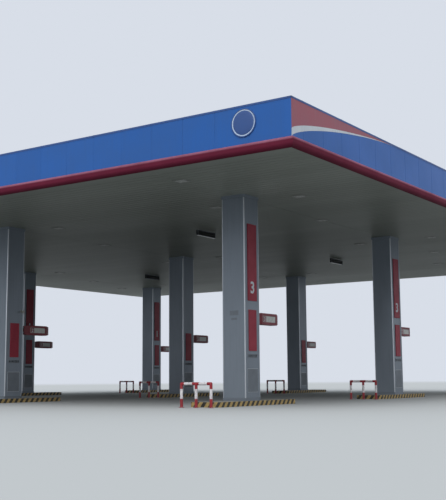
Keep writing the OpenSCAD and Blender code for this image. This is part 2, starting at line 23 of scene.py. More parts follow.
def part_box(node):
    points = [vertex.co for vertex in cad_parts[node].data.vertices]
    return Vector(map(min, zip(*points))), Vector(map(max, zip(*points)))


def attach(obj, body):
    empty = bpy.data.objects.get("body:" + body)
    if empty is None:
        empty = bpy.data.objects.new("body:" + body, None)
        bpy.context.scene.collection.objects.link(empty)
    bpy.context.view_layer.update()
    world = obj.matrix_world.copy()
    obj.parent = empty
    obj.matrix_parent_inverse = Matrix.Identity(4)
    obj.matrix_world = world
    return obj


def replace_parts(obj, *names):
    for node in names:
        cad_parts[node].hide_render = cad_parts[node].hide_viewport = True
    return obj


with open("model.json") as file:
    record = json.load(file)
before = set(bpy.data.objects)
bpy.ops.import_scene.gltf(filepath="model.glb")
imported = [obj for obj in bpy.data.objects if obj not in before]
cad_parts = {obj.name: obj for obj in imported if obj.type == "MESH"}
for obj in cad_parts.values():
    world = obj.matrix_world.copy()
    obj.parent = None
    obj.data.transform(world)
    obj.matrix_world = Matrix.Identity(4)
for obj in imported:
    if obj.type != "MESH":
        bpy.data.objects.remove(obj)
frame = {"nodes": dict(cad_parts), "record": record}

log = logging.getLogger("canopy")

BODY = "root"
MM = 0.001
# Turns a plan with Y up the page into an upright face that looks to -Y, or into one that looks down.
OUTWARD = Matrix.Rotation(math.pi / 2, 4, "X")
DOWNWARD = Matrix.Rotation(math.pi, 4, "X")
# Turns a section, drawn as the distance outwards and the height, into a profile that runs along X.
LENGTHWISE = Matrix(((0, 0, 1, 0), (-1, 0, 0, 0), (0, 1, 0, 0), (0, 0, 0, 1)))
ENDS = (-1, 1)
# Widths of the bevels on sheet metal and on the smallest parts.
SOFT_EDGE = 0.0015
FINE_EDGE = 0.001
# Points that are nearer to each other than this are one.
WELD = 1e-5
# How far a number's outline grows to look bold, and the steps in its curves.
DIGIT_BOLD = 0.025
DIGIT_STEPS = 6
COAT_ROUGHNESS = 0.12
# Levels of a noise between which clouds, sheen and rain streaks go from none to full.
CLOUD_SPAN = (0.35, 0.7)
SHEEN_SPAN = (0.3, 0.7)
STREAK_SPAN = (0.5, 0.75)
# Streaks to a metre, across and down a face.
STREAK_SCALE = (14.0, 14.0, 0.7)
FLOAT = "NodeSocketFloat"
INT = "NodeSocketInt"
Points = Sequence[Sequence[float]]
Socket = bpy.types.NodeSocket
Tree = bpy.types.NodeTree


def linear(hex_colour: str) -> tuple[float, float, float, float]:
    """Turns an sRGB colour into the linear one that shaders use.

    Args:
        hex_colour: Six hex digits, such as "8a9096".

    Returns:
        The linear red, green, blue and alpha.
    """
    channels = [int(hex_colour[i:i + 2], 16) / 255 for i in (0, 2, 4)]
    red, green, blue = [c / 12.92 if c <= 0.04045 else ((c + 0.055) / 1.055) ** 2.4 for c in channels]
    return red, green, blue, 1.0


def add_node(tree: Tree, kind: str, inputs: dict[Any, Any] | None = None,
             **settings: Any) -> bpy.types.Node:
    """Adds a node with its settings, values and links.

    Args:
        tree: The node tree that gets the node.
        kind: Blender's name of the node type.
        inputs: A value or an output socket for each input, by the input's name or number.
        settings: The node's own properties.

    Returns:
        The new node.
    """
    node = tree.nodes.new(kind)
    for name, value in settings.items():
        setattr(node, name, value)
    for name, value in (inputs or {}).items():
        if isinstance(value, Socket):
            tree.links.new(value, node.inputs[name])
        else:
            node.inputs[name].default_value = value
    return node


class Side(Enum):
    """A side of the canopy, with the turn that brings a part made for the front there."""

    FRONT = 0.0
    RIGHT = math.pi / 2
    BACK = math.pi
    LEFT = -math.pi / 2

    @property
    def turn(self) -> Matrix:
        """The turn about the vertical."""
        return Matrix.Rotation(self.value, 4, "Z")


LANE_SIDES = (Side.LEFT, Side.RIGHT)


def shifted(place: Matrix, x: float = 0.0, y: float = 0.0, z: float = 0.0) -> Matrix:
    """A place moved along its own X, Y and Z."""
    return place @ Matrix.Translation((x, y, z))


def even(length: float, end: float, pitch: float) -> list[float]:
    """Places at an even pitch along a length, counted from its middle, with room left at the ends."""
    count = int((length - 2 * end) / pitch) + 1
    return [(i - (count - 1) / 2) * pitch for i in range(count)]


def about_middle(half: float, pitch: float, clear: float = 0.2) -> list[float]:
    """Places at an even pitch from a middle to both sides, up to half less a share of a pitch."""
    count = int(half / pitch - clear)
    return [i * pitch for i in range(-count, count + 1)]


@dataclass(frozen=True)
class Fitting:
    """What sits round the foot, shaft or head of every column alike, measured on one of them."""

    out: float  # How far it reaches from the column's middle, along X.
    width: float  # Its width along Y.
    low_z: float  # The height of its lower edge.
    high_z: float  # The height of its upper edge.

    @property
    def height(self) -> float:
        """Its height."""
        return self.high_z - self.low_z

    @property
    def middle_z(self) -> float:
        """The height of its middle."""
        return (self.low_z + self.high_z) / 2


class Layout:
    """The canopy's main lines, read from the frame's nodes."""

    def __init__(self) -> None:
        """Reads the boxes of the nodes that settle the grid and the levels."""
        low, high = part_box("cladding_right")
        self.column_w = high.x - low.x
        self.row_x = (low.x + high.x) / 2
        self.line_y = (high.y - low.y - self.column_w) / 2
        self.rows = (-self.row_x, 0.0, self.row_x)
        self.lines = (-self.line_y, 0.0, self.line_y)
        self.island_h = low.z
        self.soffit_z = high.z
        front_low, front_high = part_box("fascia_front")
        self.half_w = front_high.x
        self.half_d = -front_low.y
        self.panel_z = front_low.z
        self.top_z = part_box("copings_ends")[1].z

    @property
    def columns(self) -> list[Vector]:
        """The middle of each column, on the ground."""
        return [Vector((x, y, 0)) for x in self.rows for y in self.lines]

    @staticmethod
    def column_face(column: Vector, side: Side, z: float, out: float) -> Matrix:
        """A plane on a face of a column, with X along the face, Y up and Z out of it."""
        foot = Matrix.Translation(column + Vector((0, 0, z)))
        return foot @ side.turn @ Matrix.Translation((0, -out, 0)) @ OUTWARD

    def lane_faces(self, z: float, out: float) -> Iterator[Matrix]:
        """Goes through the lane faces of all columns, as column_face gives them."""
        for column, side in product(self.columns, LANE_SIDES):
            yield self.column_face(column, side, z, out)

    def fitting(self, node: str) -> Fitting:
        """Measures one column's share of a node that sits on every column alike."""
        low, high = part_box(node)
        return Fitting(high.x - self.row_x, 2 * (high.y - self.line_y), low.z, high.z)

    def half_to(self, side: Side) -> float:
        """How far a side's fascia lies from the middle of the canopy."""
        return self.half_d if side in (Side.FRONT, Side.BACK) else self.half_w

    def half_l(self, side: Side) -> float:
        """Half the length of a side."""
        return self.half_w if side in (Side.FRONT, Side.BACK) else self.half_d

    def edge(self, side: Side, z: float) -> Matrix:
        """The line along the middle of a side's fascia at a height, with X along it and Z up."""
        return shifted(side.turn, y=-self.half_to(side), z=z)

    def fascia_face(self, side: Side) -> Matrix:
        """The plane of a side's fascia, with X along it, Y up from the ground and Z out of it."""
        return self.edge(side, 0.0) @ OUTWARD


@dataclass(frozen=True)
class Finish:
    """A finish of one slot of the record, with soft clouds of a second tone and a fine relief."""

    slot: str  # The record's slot, which is the material's name too.
    colour: str  # The main colour, in sRGB hex.
    second: str  # The colour that the clouds and streaks lean to.
    cloud_mm: float = 900.0  # The size of the clouds.
    cloud: float = 0.3  # How far the clouds lean to the second colour.
    streak: float = 0.0  # How far rain streaks below the top edge lean to the second colour.
    metallic: float = 0.0  # 1 on bare metal, less on a paint with metal flakes.
    rough: float = 0.4  # The roughness at the shiniest places.
    rough_spread: float = 0.12  # How much rougher the dull places are.
    coat: float = 0.0  # The weight of a clear coat.
    specular: float = 0.5  # The strength of the mirroring, 0.5 on common paint and less on a chalky one.
    glow: float = 0.0  # The strength of the light that it gives off itself: painted light, as no finish here belongs to a lit lamp.
    relief_mm: float = 40.0  # The size of the relief's waves.
    relief: float = 0.2  # The depth of the relief, in millimetres.
    # How the clouds and the relief are stretched along X, Y and Z.
    stretch: tuple[float, float, float] = (1.0, 1.0, 1.0)

    def build(self) -> bpy.types.Material:
        """Makes the material.

        Returns:
            The new material, named for its slot.
        """
        material = bpy.data.materials.new(self.slot)
        material.use_nodes = True
        tree = material.node_tree
        tree.nodes.clear()
        place = add_node(tree, "ShaderNodeTexCoord").outputs["Object"]
        stretched = add_node(tree, "ShaderNodeMapping", {
            "Vector": place, "Scale": [1 / s for s in self.stretch]})
        clouds = add_node(tree, "ShaderNodeTexNoise", {
            "Vector": stretched.outputs["Vector"], "Scale": 1 / (self.cloud_mm * MM), "Detail": 5.0,
            "Roughness": 0.6}).outputs["Fac"]
        soft = add_node(tree, "ShaderNodeMapRange", {
            "Value": clouds, "From Min": CLOUD_SPAN[0], "From Max": CLOUD_SPAN[1], "To Min": 0.0,
            "To Max": self.cloud})
        colour = add_node(tree, "ShaderNodeMix", {
            "Factor": soft.outputs["Result"], "A": self.paint(tree, place), "B": linear(self.second)},
            data_type="RGBA").outputs["Result"]
        if self.streak:
            colour = self.streaks(tree, place, colour)
        sheen = add_node(tree, "ShaderNodeMapRange", {
            "Value": clouds, "From Min": SHEEN_SPAN[0], "From Max": SHEEN_SPAN[1], "To Min": self.rough,
            "To Max": self.rough + self.rough_spread})
        surface = add_node(tree, "ShaderNodeBsdfPrincipled", {
            "Base Color": colour, "Roughness": sheen.outputs["Result"], "Metallic": self.metallic,
            "Coat Weight": self.coat, "Coat Roughness": COAT_ROUGHNESS, "Specular IOR Level": self.specular,
            "Emission Color": linear(self.colour), "Emission Strength": self.glow,
            "Normal": self.bumps(tree, stretched.outputs["Vector"])})
        add_node(tree, "ShaderNodeOutputMaterial", {"Surface": surface.outputs["BSDF"]})
        return material

    def paint(self, tree: Tree, place: Socket) -> Any:
        """The paint below the weathering: a plain colour here, a pattern in some finishes."""
        return linear(self.colour)

    def streaks(self, tree: Tree, place: Socket, colour: Socket) -> Socket:
        """Adds faint upright streaks that rain has washed down from the top edge.

        Args:
            tree: The material's node tree.
            place: The object coordinates.
            colour: The colour so far.

        Returns:
            The colour with its streaks.
        """
        narrow = add_node(tree, "ShaderNodeMapping", {"Vector": place, "Scale": STREAK_SCALE})
        lines = add_node(tree, "ShaderNodeTexNoise", {
            "Vector": narrow.outputs["Vector"], "Scale": 1.0, "Detail": 3.0})
        share = add_node(tree, "ShaderNodeMapRange", {
            "Value": lines.outputs["Fac"], "From Min": STREAK_SPAN[0], "From Max": STREAK_SPAN[1],
            "To Min": 0.0, "To Max": self.streak})
        return add_node(tree, "ShaderNodeMix", {
            "Factor": share.outputs["Result"], "A": colour, "B": linear(self.second)},
            data_type="RGBA").outputs["Result"]

    def bumps(self, tree: Tree, place: Socket, below: dict[str, Socket] | None = None) -> Socket:
        """The relief of the surface.

        Args:
            tree: The material's node tree.
            place: The object coordinates, stretched as the finish says.
            below: The normal that the relief lies on, as an input of the bump node.

        Returns:
            The bumped normal.
        """
        fine = add_node(tree, "ShaderNodeTexNoise", {
            "Vector": place, "Scale": 1 / (self.relief_mm * MM), "Detail": 4.0})
        return add_node(tree, "ShaderNodeBump", {
            "Height": fine.outputs["Fac"], "Distance": self.relief * MM, "Strength": 1.0,
            **(below or {})}).outputs["Normal"]


@dataclass(frozen=True)
class PanelFinish(Finish):
    """A coated sheet in panels, each of which has its own slight tone, with slow waves across the sheet."""

    # The width of a panel along X and along Y, in metres, or 0 where none ends that way.
    pitch: tuple[float, float] = (1.22, 1.22)
    panel_tone: float = 0.06  # How much the tone differs from panel to panel.
    buckle_mm: float = 1.0  # The depth of the slow waves in a panel, which a gloss surface shows.
    buckle_pitch: float = 1.2  # The length of those waves, in metres.

    def panel_number(self, tree: Tree, place: Socket) -> Socket:
        """A random number for each panel.

        Args:
            tree: The material's node tree.
            place: The object coordinates.

        Returns:
            The number, from 0 to 1.
        """
        scale = [1 / p if p else 0.0 for p in self.pitch] + [0.0]
        cells = add_node(tree, "ShaderNodeVectorMath", {0: place, 1: scale}, operation="MULTIPLY")
        whole = add_node(tree, "ShaderNodeVectorMath", {0: cells.outputs["Vector"]}, operation="FLOOR")
        return add_node(tree, "ShaderNodeTexWhiteNoise", {"Vector": whole.outputs["Vector"]}).outputs["Value"]

    def paint(self, tree: Tree, place: Socket) -> Any:
        """The main colour, a little lighter or darker from panel to panel."""
        tone = add_node(tree, "ShaderNodeMapRange", {
            "Value": self.panel_number(tree, place), "To Min": 1 - self.panel_tone,
            "To Max": 1 + self.panel_tone})
        return add_node(tree, "ShaderNodeHueSaturation", {
            "Color": linear(self.colour), "Value": tone.outputs["Result"]}).outputs["Color"]

    def bumps(self, tree: Tree, place: Socket, below: dict[str, Socket] | None = None) -> Socket:
        """Fine relief over the slow waves of the sheet."""
        slow = add_node(tree, "ShaderNodeTexNoise", {
            "Vector": place, "Scale": 1 / self.buckle_pitch, "Detail": 1.0})
        waves = add_node(tree, "ShaderNodeBump", {
            "Height": slow.outputs["Fac"], "Distance": self.buckle_mm * MM, "Strength": 1.0, **(below or {})})
        return super().bumps(tree, place, {"Normal": waves.outputs["Normal"]})


@dataclass(frozen=True)
class BleachedFinish(Finish):
    """A paint with a painted highlight along its upper edge: a lighter colour where the sky would light the
    band's rounded top.
    """

    bleached: str = "9c6276"  # The colour of the painted highlight along the upper edge.
    from_z: float = 7.655  # The height where the painted highlight starts, in metres.
    to_z: float = 7.7  # The height where it is full.

    def paint(self, tree: Tree, place: Socket) -> Any:
        """The main colour below and the painted highlight above."""
        parts = add_node(tree, "ShaderNodeSeparateXYZ", {"Vector": place})
        # Painted highlight: lighter from from_z up to to_z, where sky light would fall on the band's top.
        share = add_node(tree, "ShaderNodeMapRange", {
            "Value": parts.outputs["Z"], "From Min": self.from_z, "From Max": self.to_z})
        return add_node(tree, "ShaderNodeMix", {
            "Factor": share.outputs["Result"], "A": linear(self.colour), "B": linear(self.bleached)},
            data_type="RGBA").outputs["Result"]


@dataclass(frozen=True)
class KerbStripes(Finish):
    """Yellow warning paint with slanted black stripes."""

    black: str = "101011"  # The colour of the stripes.
    pitch: float = 0.3  # The distance from stripe to stripe, in metres.
    slant: float = 0.75  # How far a stripe leans for each metre of height.

    def paint(self, tree: Tree, place: Socket) -> Any:
        """The yellow and the black stripes."""
        along = add_node(tree, "ShaderNodeVectorMath", {0: place, 1: (1.0, 1.0, -self.slant)},
                         operation="DOT_PRODUCT")
        turns = add_node(tree, "ShaderNodeMath", {0: along.outputs["Value"], 1: self.pitch},
                         operation="DIVIDE")
        part = add_node(tree, "ShaderNodeMath", {0: turns.outputs["Value"]}, operation="FRACT")
        dark = add_node(tree, "ShaderNodeMath", {0: part.outputs["Value"], 1: 0.5}, operation="GREATER_THAN")
        return add_node(tree, "ShaderNodeMix", {
            "Factor": dark.outputs["Value"], "A": linear(self.colour), "B": linear(self.black)},
            data_type="RGBA").outputs["Result"]


@dataclass(frozen=True)
class GuardPaint(Finish):
    """Red and white bands on the tubes of the island guards."""

    white: str = "ebe8ea"  # The colour of the white bands.
    band_low: float = 0.29  # Where the white band of a post starts, in metres above the ground.
    band_high: float = 0.61  # Where it ends.
    rail_low: float = 0.73  # The height above which the rail's own bands begin.
    post_pitch: float = 0.6  # The distance between posts, in metres.
    red_reach: float = 0.135  # How far the red of the rail reaches from the middle of a post.

    def paint(self, tree: Tree, place: Socket) -> Any:
        """The bands: white on the middle of each post and between the posts on the rail."""
        parts = add_node(tree, "ShaderNodeSeparateXYZ", {"Vector": place})
        height = parts.outputs["Z"]
        middle = (self.band_low + self.band_high) / 2
        post = add_node(tree, "ShaderNodeMath", {
            0: height, 1: middle, 2: (self.band_high - self.band_low) / 2}, operation="COMPARE")
        reach = add_node(tree, "ShaderNodeMath", {
            0: parts.outputs["X"], 1: self.post_pitch / 2}, operation="PINGPONG")
        between = add_node(tree, "ShaderNodeMath", {
            0: reach.outputs["Value"], 1: self.red_reach}, operation="GREATER_THAN")
        high = add_node(tree, "ShaderNodeMath", {0: height, 1: self.rail_low}, operation="GREATER_THAN")
        rail = add_node(tree, "ShaderNodeMath", {
            0: between.outputs["Value"], 1: high.outputs["Value"]}, operation="MULTIPLY")
        white = add_node(tree, "ShaderNodeMath", {
            0: post.outputs["Value"], 1: rail.outputs["Value"]}, operation="MAXIMUM")
        return add_node(tree, "ShaderNodeMix", {
            "Factor": white.outputs["Value"], "A": linear(self.colour), "B": linear(self.white)},
            data_type="RGBA").outputs["Result"]


@dataclass(frozen=True)
class Galvanised(Finish):
    """Hot-dip zinc with its crystal pattern."""

    spangle_mm: float = 14.0  # The size of the crystals.
    dull: float = 0.86  # How bright the dullest crystals are.
    bright: float = 1.1  # How bright the brightest are.

    def paint(self, tree: Tree, place: Socket) -> Any:
        """The main colour, with a slightly different tone on each crystal."""
        cells = add_node(tree, "ShaderNodeTexVoronoi", {"Vector": place, "Scale": 1 / (self.spangle_mm * MM)})
        grey = add_node(tree, "ShaderNodeSeparateColor", {"Color": cells.outputs["Color"]})
        tone = add_node(tree, "ShaderNodeMapRange", {
            "Value": grey.outputs["Red"], "To Min": self.dull, "To Max": self.bright})
        return add_node(tree, "ShaderNodeHueSaturation", {
            "Color": linear(self.colour), "Value": tone.outputs["Result"]}).outputs["Color"]


FINISHES: tuple[Finish, ...] = (
    # Steel-trowelled concrete: dusty, with mottling and fine pits.
    Finish("concrete", "9a978f", "6d6a64", cloud_mm=350, cloud=0.7, rough=0.8, rough_spread=0.15,
           relief_mm=18, relief=1.2),
    # Road-marking paint on steel plate: flat, dusty and scuffed.
    KerbStripes("kerb_stripes", "c4a565", "625c4a", cloud_mm=120, cloud=0.55, rough=0.5, relief_mm=25,
                relief=0.4),
    # Brushed enamel on steel tube: chalky red and white.
    GuardPaint("guard_paint", "9c1e2a", "5c3a38", cloud_mm=90, cloud=0.4, rough=0.35, relief_mm=20,
               relief=0.3),
    # Primer on rolled steel, inside the roof.
    Finish("frame_steel", "5a6066", "43474c", rough=0.55, relief_mm=12, relief=0.2),
    # Metallic grey coated composite panel: satin, with a faint flake.
    PanelFinish("cladding_grey", "7e8791", "666e77", cloud_mm=1400, cloud=0.35, streak=0.25, metallic=0.25,
                rough=0.38, coat=0.05, relief_mm=6, relief=0.03, stretch=(1, 1, 2.5), pitch=(0.0, 0.0),
                panel_tone=0.0, buckle_mm=1.2, buckle_pitch=0.7),
    # Bright anodised aluminium: pale satin metal, dulled by weather.
    Finish("bright_trim", "b9bdc1", "979b9f", cloud_mm=250, cloud=0.4, metallic=1.0, rough=0.34, relief_mm=3,
           relief=0.02, stretch=(1, 1, 30)),
    # Brushed stainless plate: dulled and mottled, with fine upright lines.
    Finish("kick_plate", "767e87", "565b60", cloud_mm=160, cloud=0.5, metallic=0.4, rough=0.34, relief_mm=2,
           relief=0.03, stretch=(30, 30, 1)),
    # Enamelled sign tray: deep red, satin.
    Finish("board_red", "9c3242", "782836", cloud_mm=500, cloud=0.4, streak=0.2, rough=0.42, specular=0.25,
           relief_mm=30, relief=0.1),
    # Powder coat, fine texture, mid grey.
    Finish("hatch_grey", "6d747c", "585e65", cloud_mm=400, cloud=0.4, rough=0.42, relief_mm=3, relief=0.06),
    # Powder-coated sheet casing: darker red.
    Finish("flag_casing", "7d232f", "5a1a24", cloud_mm=400, cloud=0.4, streak=0.2, rough=0.38, relief_mm=30,
           relief=0.1),
    # Hot-dip galvanised steel.
    Galvanised("galvanised", "a4a8aa", "7f8385", cloud_mm=500, cloud=0.4, metallic=0.85, rough=0.38,
               relief_mm=14, relief=0.08),
    # Coil-coated soffit strips: satin and slightly wavy, each with a tone of its own.
    PanelFinish("soffit_grey", "979b93", "888d85", cloud_mm=2500, cloud=0.4, rough=0.42, rough_spread=0.08,
                specular=0.08, relief_mm=60, relief=0.05, stretch=(8, 1, 1), pitch=(0.0, 0.3),
                panel_tone=0.04, buckle_mm=0.2, buckle_pitch=0.6),
    # Powder-coated lamp housing: warm white, gone grey.
    Finish("lamp_white", "8f918d", "7f817c", cloud_mm=120, cloud=0.3, rough=0.4, relief_mm=3, relief=0.04),
    # Opal acrylic lens, also on the number boxes' faces: pale and smooth, with a faint painted glow that
    # stands in for daylight, though no lamp is lit.
    Finish("lamp_lens", "bcbeba", "a8aaa5", cloud_mm=120, cloud=0.3, rough=0.22, glow=0.02, relief_mm=5,
           relief=0.03),
    # Gloss black acrylic.
    Finish("board_black", "141517", "26282b", cloud_mm=200, cloud=0.3, rough=0.14, relief_mm=60, relief=0.05),
    # Coated composite panel: deep blue, satin, with rain streaks and a slightly different tone per panel.
    PanelFinish("fascia_blue", "2a60aa", "335c98", cloud_mm=1500, cloud=0.5, streak=0.3, rough=0.34,
                rough_spread=0.1, specular=0.25, relief_mm=8, relief=0.02, pitch=(1.22, 1.22),
                panel_tone=0.035, buckle_mm=1.2, buckle_pitch=0.9),
    # Printed film: white, satin.
    Finish("field_white", "c9d0d6", "abb3ba", cloud_mm=900, cloud=0.4, streak=0.4, rough=0.32, relief_mm=8,
           relief=0.02),
    # Printed film: red, bleached by the sun.
    Finish("field_red", "94404f", "8a5865", cloud_mm=900, cloud=0.5, streak=0.4, rough=0.32, relief_mm=8,
           relief=0.02),
    # Vacuum-formed acrylic dome: gloss, pale.
    Finish("badge_white", "b9c9de", "a6b7cd", cloud_mm=500, cloud=0.3, rough=0.12, coat=0.4, relief_mm=60,
           relief=0.05),
    # Powder-coated folded aluminium: dark red and satin, with a painted highlight along its upper edge where
    # it faces the sky.
    BleachedFinish("band_red", "682337", "501e2e", cloud_mm=1200, cloud=0.4, streak=0.15, rough=0.5,
                   specular=0.05, relief_mm=90, relief=0.12),
    # Powder-coated folded aluminium: dark blue.
    Finish("coping_blue", "3b5890", "394e7c", cloud_mm=800, cloud=0.4, rough=0.38, specular=0.3, relief_mm=60,
           relief=0.1),
    # Coil-coated roof sheet: dusty, with dirt washed along the ribs.
    Finish("roof_sheet", "9aa3ab", "74797c", cloud_mm=2200, cloud=0.7, rough=0.42, relief_mm=90, relief=0.3,
           stretch=(6, 1, 1)),
)


class Paints:
    """All finishes as materials, by slot."""

    def __init__(self) -> None:
        """Makes the materials and dresses the frame's nodes."""
        self.by_slot = {finish.slot: finish.build() for finish in FINISHES}
        for part in frame["record"]["subparts"]:
            node = frame["nodes"][part["node"]]
            node.data.materials.clear()
            node.data.materials.append(self.by_slot[part["material_slot"]])
            log.info("%s wears %s", part["node"], part["material_slot"])


@dataclass(frozen=True)
class Spot:
    """A point on a surface, with the direction that points out of it."""

    point: Vector
    outward: Vector

    @classmethod
    def on(cls, place: Matrix, x: float, y: float) -> Spot:
        """A spot at X and Y on a plane, which has Z pointing out of it."""
        return cls(place @ Vector((x, y, 0)), place.to_3x3() @ Vector((0, 0, 1)))

    @classmethod
    def square(cls, place: Matrix, reach: float) -> list[Spot]:
        """Four spots at the corners of a square about a plane's origin, at a reach along X and Y."""
        return [cls.on(place, x * reach, y * reach) for x, y in product(ENDS, ENDS)]


class RuleTree:
    """A Geometry Nodes tree with named inputs, which turns bare points or edges into solids."""

    def __init__(self, name: str, sizes: dict[str, str]) -> None:
        """Starts the tree with its inputs.

        Args:
            name: The tree's name.
            sizes: The kind of socket of each named input.
        """
        self.tree = bpy.data.node_groups.new(name, "GeometryNodeTree")
        face = self.tree.interface
        face.new_socket(name="Geometry", in_out="INPUT", socket_type="NodeSocketGeometry")
        for size, kind in {**sizes, "Seed": INT, "Finish": "NodeSocketMaterial"}.items():
            face.new_socket(name=size, in_out="INPUT", socket_type=kind)
        face.new_socket(name="Geometry", in_out="OUTPUT", socket_type="NodeSocketGeometry")
        self.given = add_node(self.tree, "NodeGroupInput").outputs
        self.finish_with(self.build())

    def build(self) -> Socket:
        """Adds the nodes that make the solids, and returns their geometry."""
        raise NotImplementedError

    def radius(self, size: str) -> Socket:
        """Halves a named width."""
        return add_node(self.tree, "ShaderNodeMath", {0: self.given[size], 1: 0.5},
                        operation="MULTIPLY").outputs["Value"]

    def frustum(self, sides: str, foot: str, top: str, height: str) -> Socket:
        """Makes a solid that narrows towards its top, from the names of its sizes."""
        return add_node(self.tree, "GeometryNodeMeshCone", {
            "Vertices": self.given[sides], "Radius Top": self.radius(top), "Radius Bottom": self.radius(foot),
            "Depth": self.given[height]}).outputs["Mesh"]

    def finish_with(self, geometry: Socket) -> None:
        """Ends the tree: instances become mesh and get their material.

        Args:
            geometry: The solids.
        """
        real = add_node(self.tree, "GeometryNodeRealizeInstances", {"Geometry": geometry})
        painted = add_node(self.tree, "GeometryNodeSetMaterial", {
            "Geometry": real.outputs["Geometry"], "Material": self.given["Finish"]})
        add_node(self.tree, "NodeGroupOutput", {"Geometry": painted.outputs["Geometry"]})

    def set_on_points(self, solid: Socket, spin: float) -> Socket:
        """Puts a solid on every point, with its Z along the point's own direction.

        Args:
            solid: The solid.
            spin: The largest random turn about that direction, in radians.

        Returns:
            The instances.
        """
        outward = add_node(self.tree, "GeometryNodeInputNamedAttribute", {"Name": "outward"},
                           data_type="FLOAT_VECTOR")
        aimed = add_node(self.tree, "FunctionNodeAlignRotationToVector", {
            "Vector": outward.outputs["Attribute"]}, axis="Z")
        turn = add_node(self.tree, "FunctionNodeRandomValue", {
            2: 0.0, 3: spin, "Seed": self.given["Seed"]}, data_type="FLOAT")
        about = add_node(self.tree, "FunctionNodeAxisAngleToRotation", {"Angle": turn.outputs[1]})
        turned = add_node(self.tree, "FunctionNodeRotateRotation", {
            "Rotation": aimed.outputs["Rotation"], "Rotate By": about.outputs["Rotation"]},
            rotation_space="LOCAL")
        return add_node(self.tree, "GeometryNodeInstanceOnPoints", {
            "Points": self.given["Geometry"], "Instance": solid,
            "Rotation": turned.outputs["Rotation"]}).outputs["Instances"]

    def run(self, name: str, base: bpy.types.Mesh, sizes: dict[str, Any],
            finish: bpy.types.Material) -> bpy.types.Object:
        """Runs the tree on a mesh and keeps the result as a plain mesh.

        Args:
            name: The name of the new object.
            base: The mesh of points or edges.
            sizes: The value of each named input.
            finish: The material.

        Returns:
            The object, linked to the scene, with no modifier left.
        """
        piece = bpy.data.objects.new(name, base)
        bpy.context.scene.collection.objects.link(piece)
        modifier = piece.modifiers.new(name, "NODES")
        modifier.node_group = self.tree
        names = {item.name: item.identifier for item in self.tree.interface.items_tree
                 if item.in_out == "INPUT"}
        for size, value in {**sizes, "Finish": finish}.items():
            modifier[names[size]] = value
        done = piece.evaluated_get(bpy.context.evaluated_depsgraph_get())
        mesh = bpy.data.meshes.new_from_object(done)
        piece.modifiers.clear()
        piece.data = mesh
        bpy.data.meshes.remove(base)
        return piece


class HeadTree(RuleTree):
    """Screws, rivets, bolts and rosettes: a washer with a head that narrows towards its top."""

    def __init__(self) -> None:
        """Starts the tree."""
        super().__init__("heads", {
            "Head width": FLOAT, "Top width": FLOAT, "Head height": FLOAT, "Washer width": FLOAT,
            "Washer thickness": FLOAT, "Sides": INT, "Washer sides": INT})

    def build(self) -> Socket:
        """Makes the washer and the head, and sets them on the points."""
        washer = self.frustum("Washer sides", "Washer width", "Washer width", "Washer thickness")
        head = self.frustum("Sides", "Head width", "Top width", "Head height")
        lift = add_node(self.tree, "ShaderNodeCombineXYZ", {"Z": self.given["Washer thickness"]})
        lifted = add_node(self.tree, "GeometryNodeTransform", {
            "Geometry": head, "Translation": lift.outputs["Vector"]})
        both = add_node(self.tree, "GeometryNodeJoinGeometry")
        for mesh in (washer, lifted.outputs["Geometry"]):
            self.tree.links.new(mesh, both.inputs["Geometry"])
        return self.set_on_points(both.outputs["Geometry"], math.pi / 3)


class CellTree(RuleTree):
    """Grids of low cells, such as the prisms of a lens or the dots of a display, one grid on each point."""

    def __init__(self) -> None:
        """Starts the tree."""
        super().__init__("cells", {
            "Columns": INT, "Rows": INT, "Length": FLOAT, "Width": FLOAT, "Cell width": FLOAT,
            "Top width": FLOAT, "Cell height": FLOAT, "Sides": INT})

    def build(self) -> Socket:
        """Makes one grid of cells and sets it on the points."""
        turned = add_node(self.tree, "GeometryNodeTransform", {
            "Geometry": self.frustum("Sides", "Cell width", "Top width", "Cell height"),
            "Rotation": (0.0, 0.0, math.pi / 4)})
        grid = add_node(self.tree, "GeometryNodeMeshGrid", {
            "Size X": self.given["Length"], "Size Y": self.given["Width"],
            "Vertices X": self.given["Columns"], "Vertices Y": self.given["Rows"]})
        cells = add_node(self.tree, "GeometryNodeInstanceOnPoints", {
            "Points": grid.outputs["Mesh"], "Instance": turned.outputs["Geometry"]})
        return self.set_on_points(cells.outputs["Instances"], 0.0)


class BeadTree(RuleTree):
    """Round beads, seals and rods that follow edges."""

    def __init__(self) -> None:
        """Starts the tree."""
        super().__init__("beads", {"Width": FLOAT, "Sides": INT})

    def build(self) -> Socket:
        """Turns the edges into curves and gives them a round section."""
        curve = add_node(self.tree, "GeometryNodeMeshToCurve", {"Mesh": self.given["Geometry"]})
        ring = add_node(self.tree, "GeometryNodeCurvePrimitiveCircle", {
            "Resolution": self.given["Sides"], "Radius": self.radius("Width")})
        return add_node(self.tree, "GeometryNodeCurveToMesh", {
            "Curve": curve.outputs["Curve"], "Profile Curve": ring.outputs["Curve"],
            "Fill Caps": True}).outputs["Mesh"]


@dataclass(frozen=True)
class Head:
    """The sizes of a screw, rivet or bolt head, in millimetres."""

    width: float  # The width of the head at its foot.
    height: float  # The height of the head.
    top: float  # The width of the head at its top.
    washer: float  # The width of the washer or flange below it.
    washer_t: float  # The thickness of that washer.
    sides: int = 8  # The number of sides of the head: 6 on a bolt, more on a round one.
    washer_sides: int = 10  # The number of sides of the washer.


RIVET = Head(width=11, height=2.5, top=5, washer=14, washer_t=0.6)
SCREW = Head(width=9, height=1.8, top=7, washer=13, washer_t=1.0)
ROOF_SCREW = Head(width=12, height=7, top=10, washer=24, washer_t=2.5, sides=6, washer_sides=8)
BOLT = Head(width=24, height=11, top=21, washer=34, washer_t=3, sides=6)


@dataclass(frozen=True)
class CellGrid:
    """The sizes of a grid of cells, in millimetres."""

    columns: int  # The number of cells along X.
    rows: int  # The number of cells along Y.
    pitch: float  # The distance from cell to cell.
    cell: float  # The width of a cell at its foot, from corner to corner.
    top: float  # The width at its top.
    height: float  # The height of a cell.
    sides: int  # The number of sides of a cell.


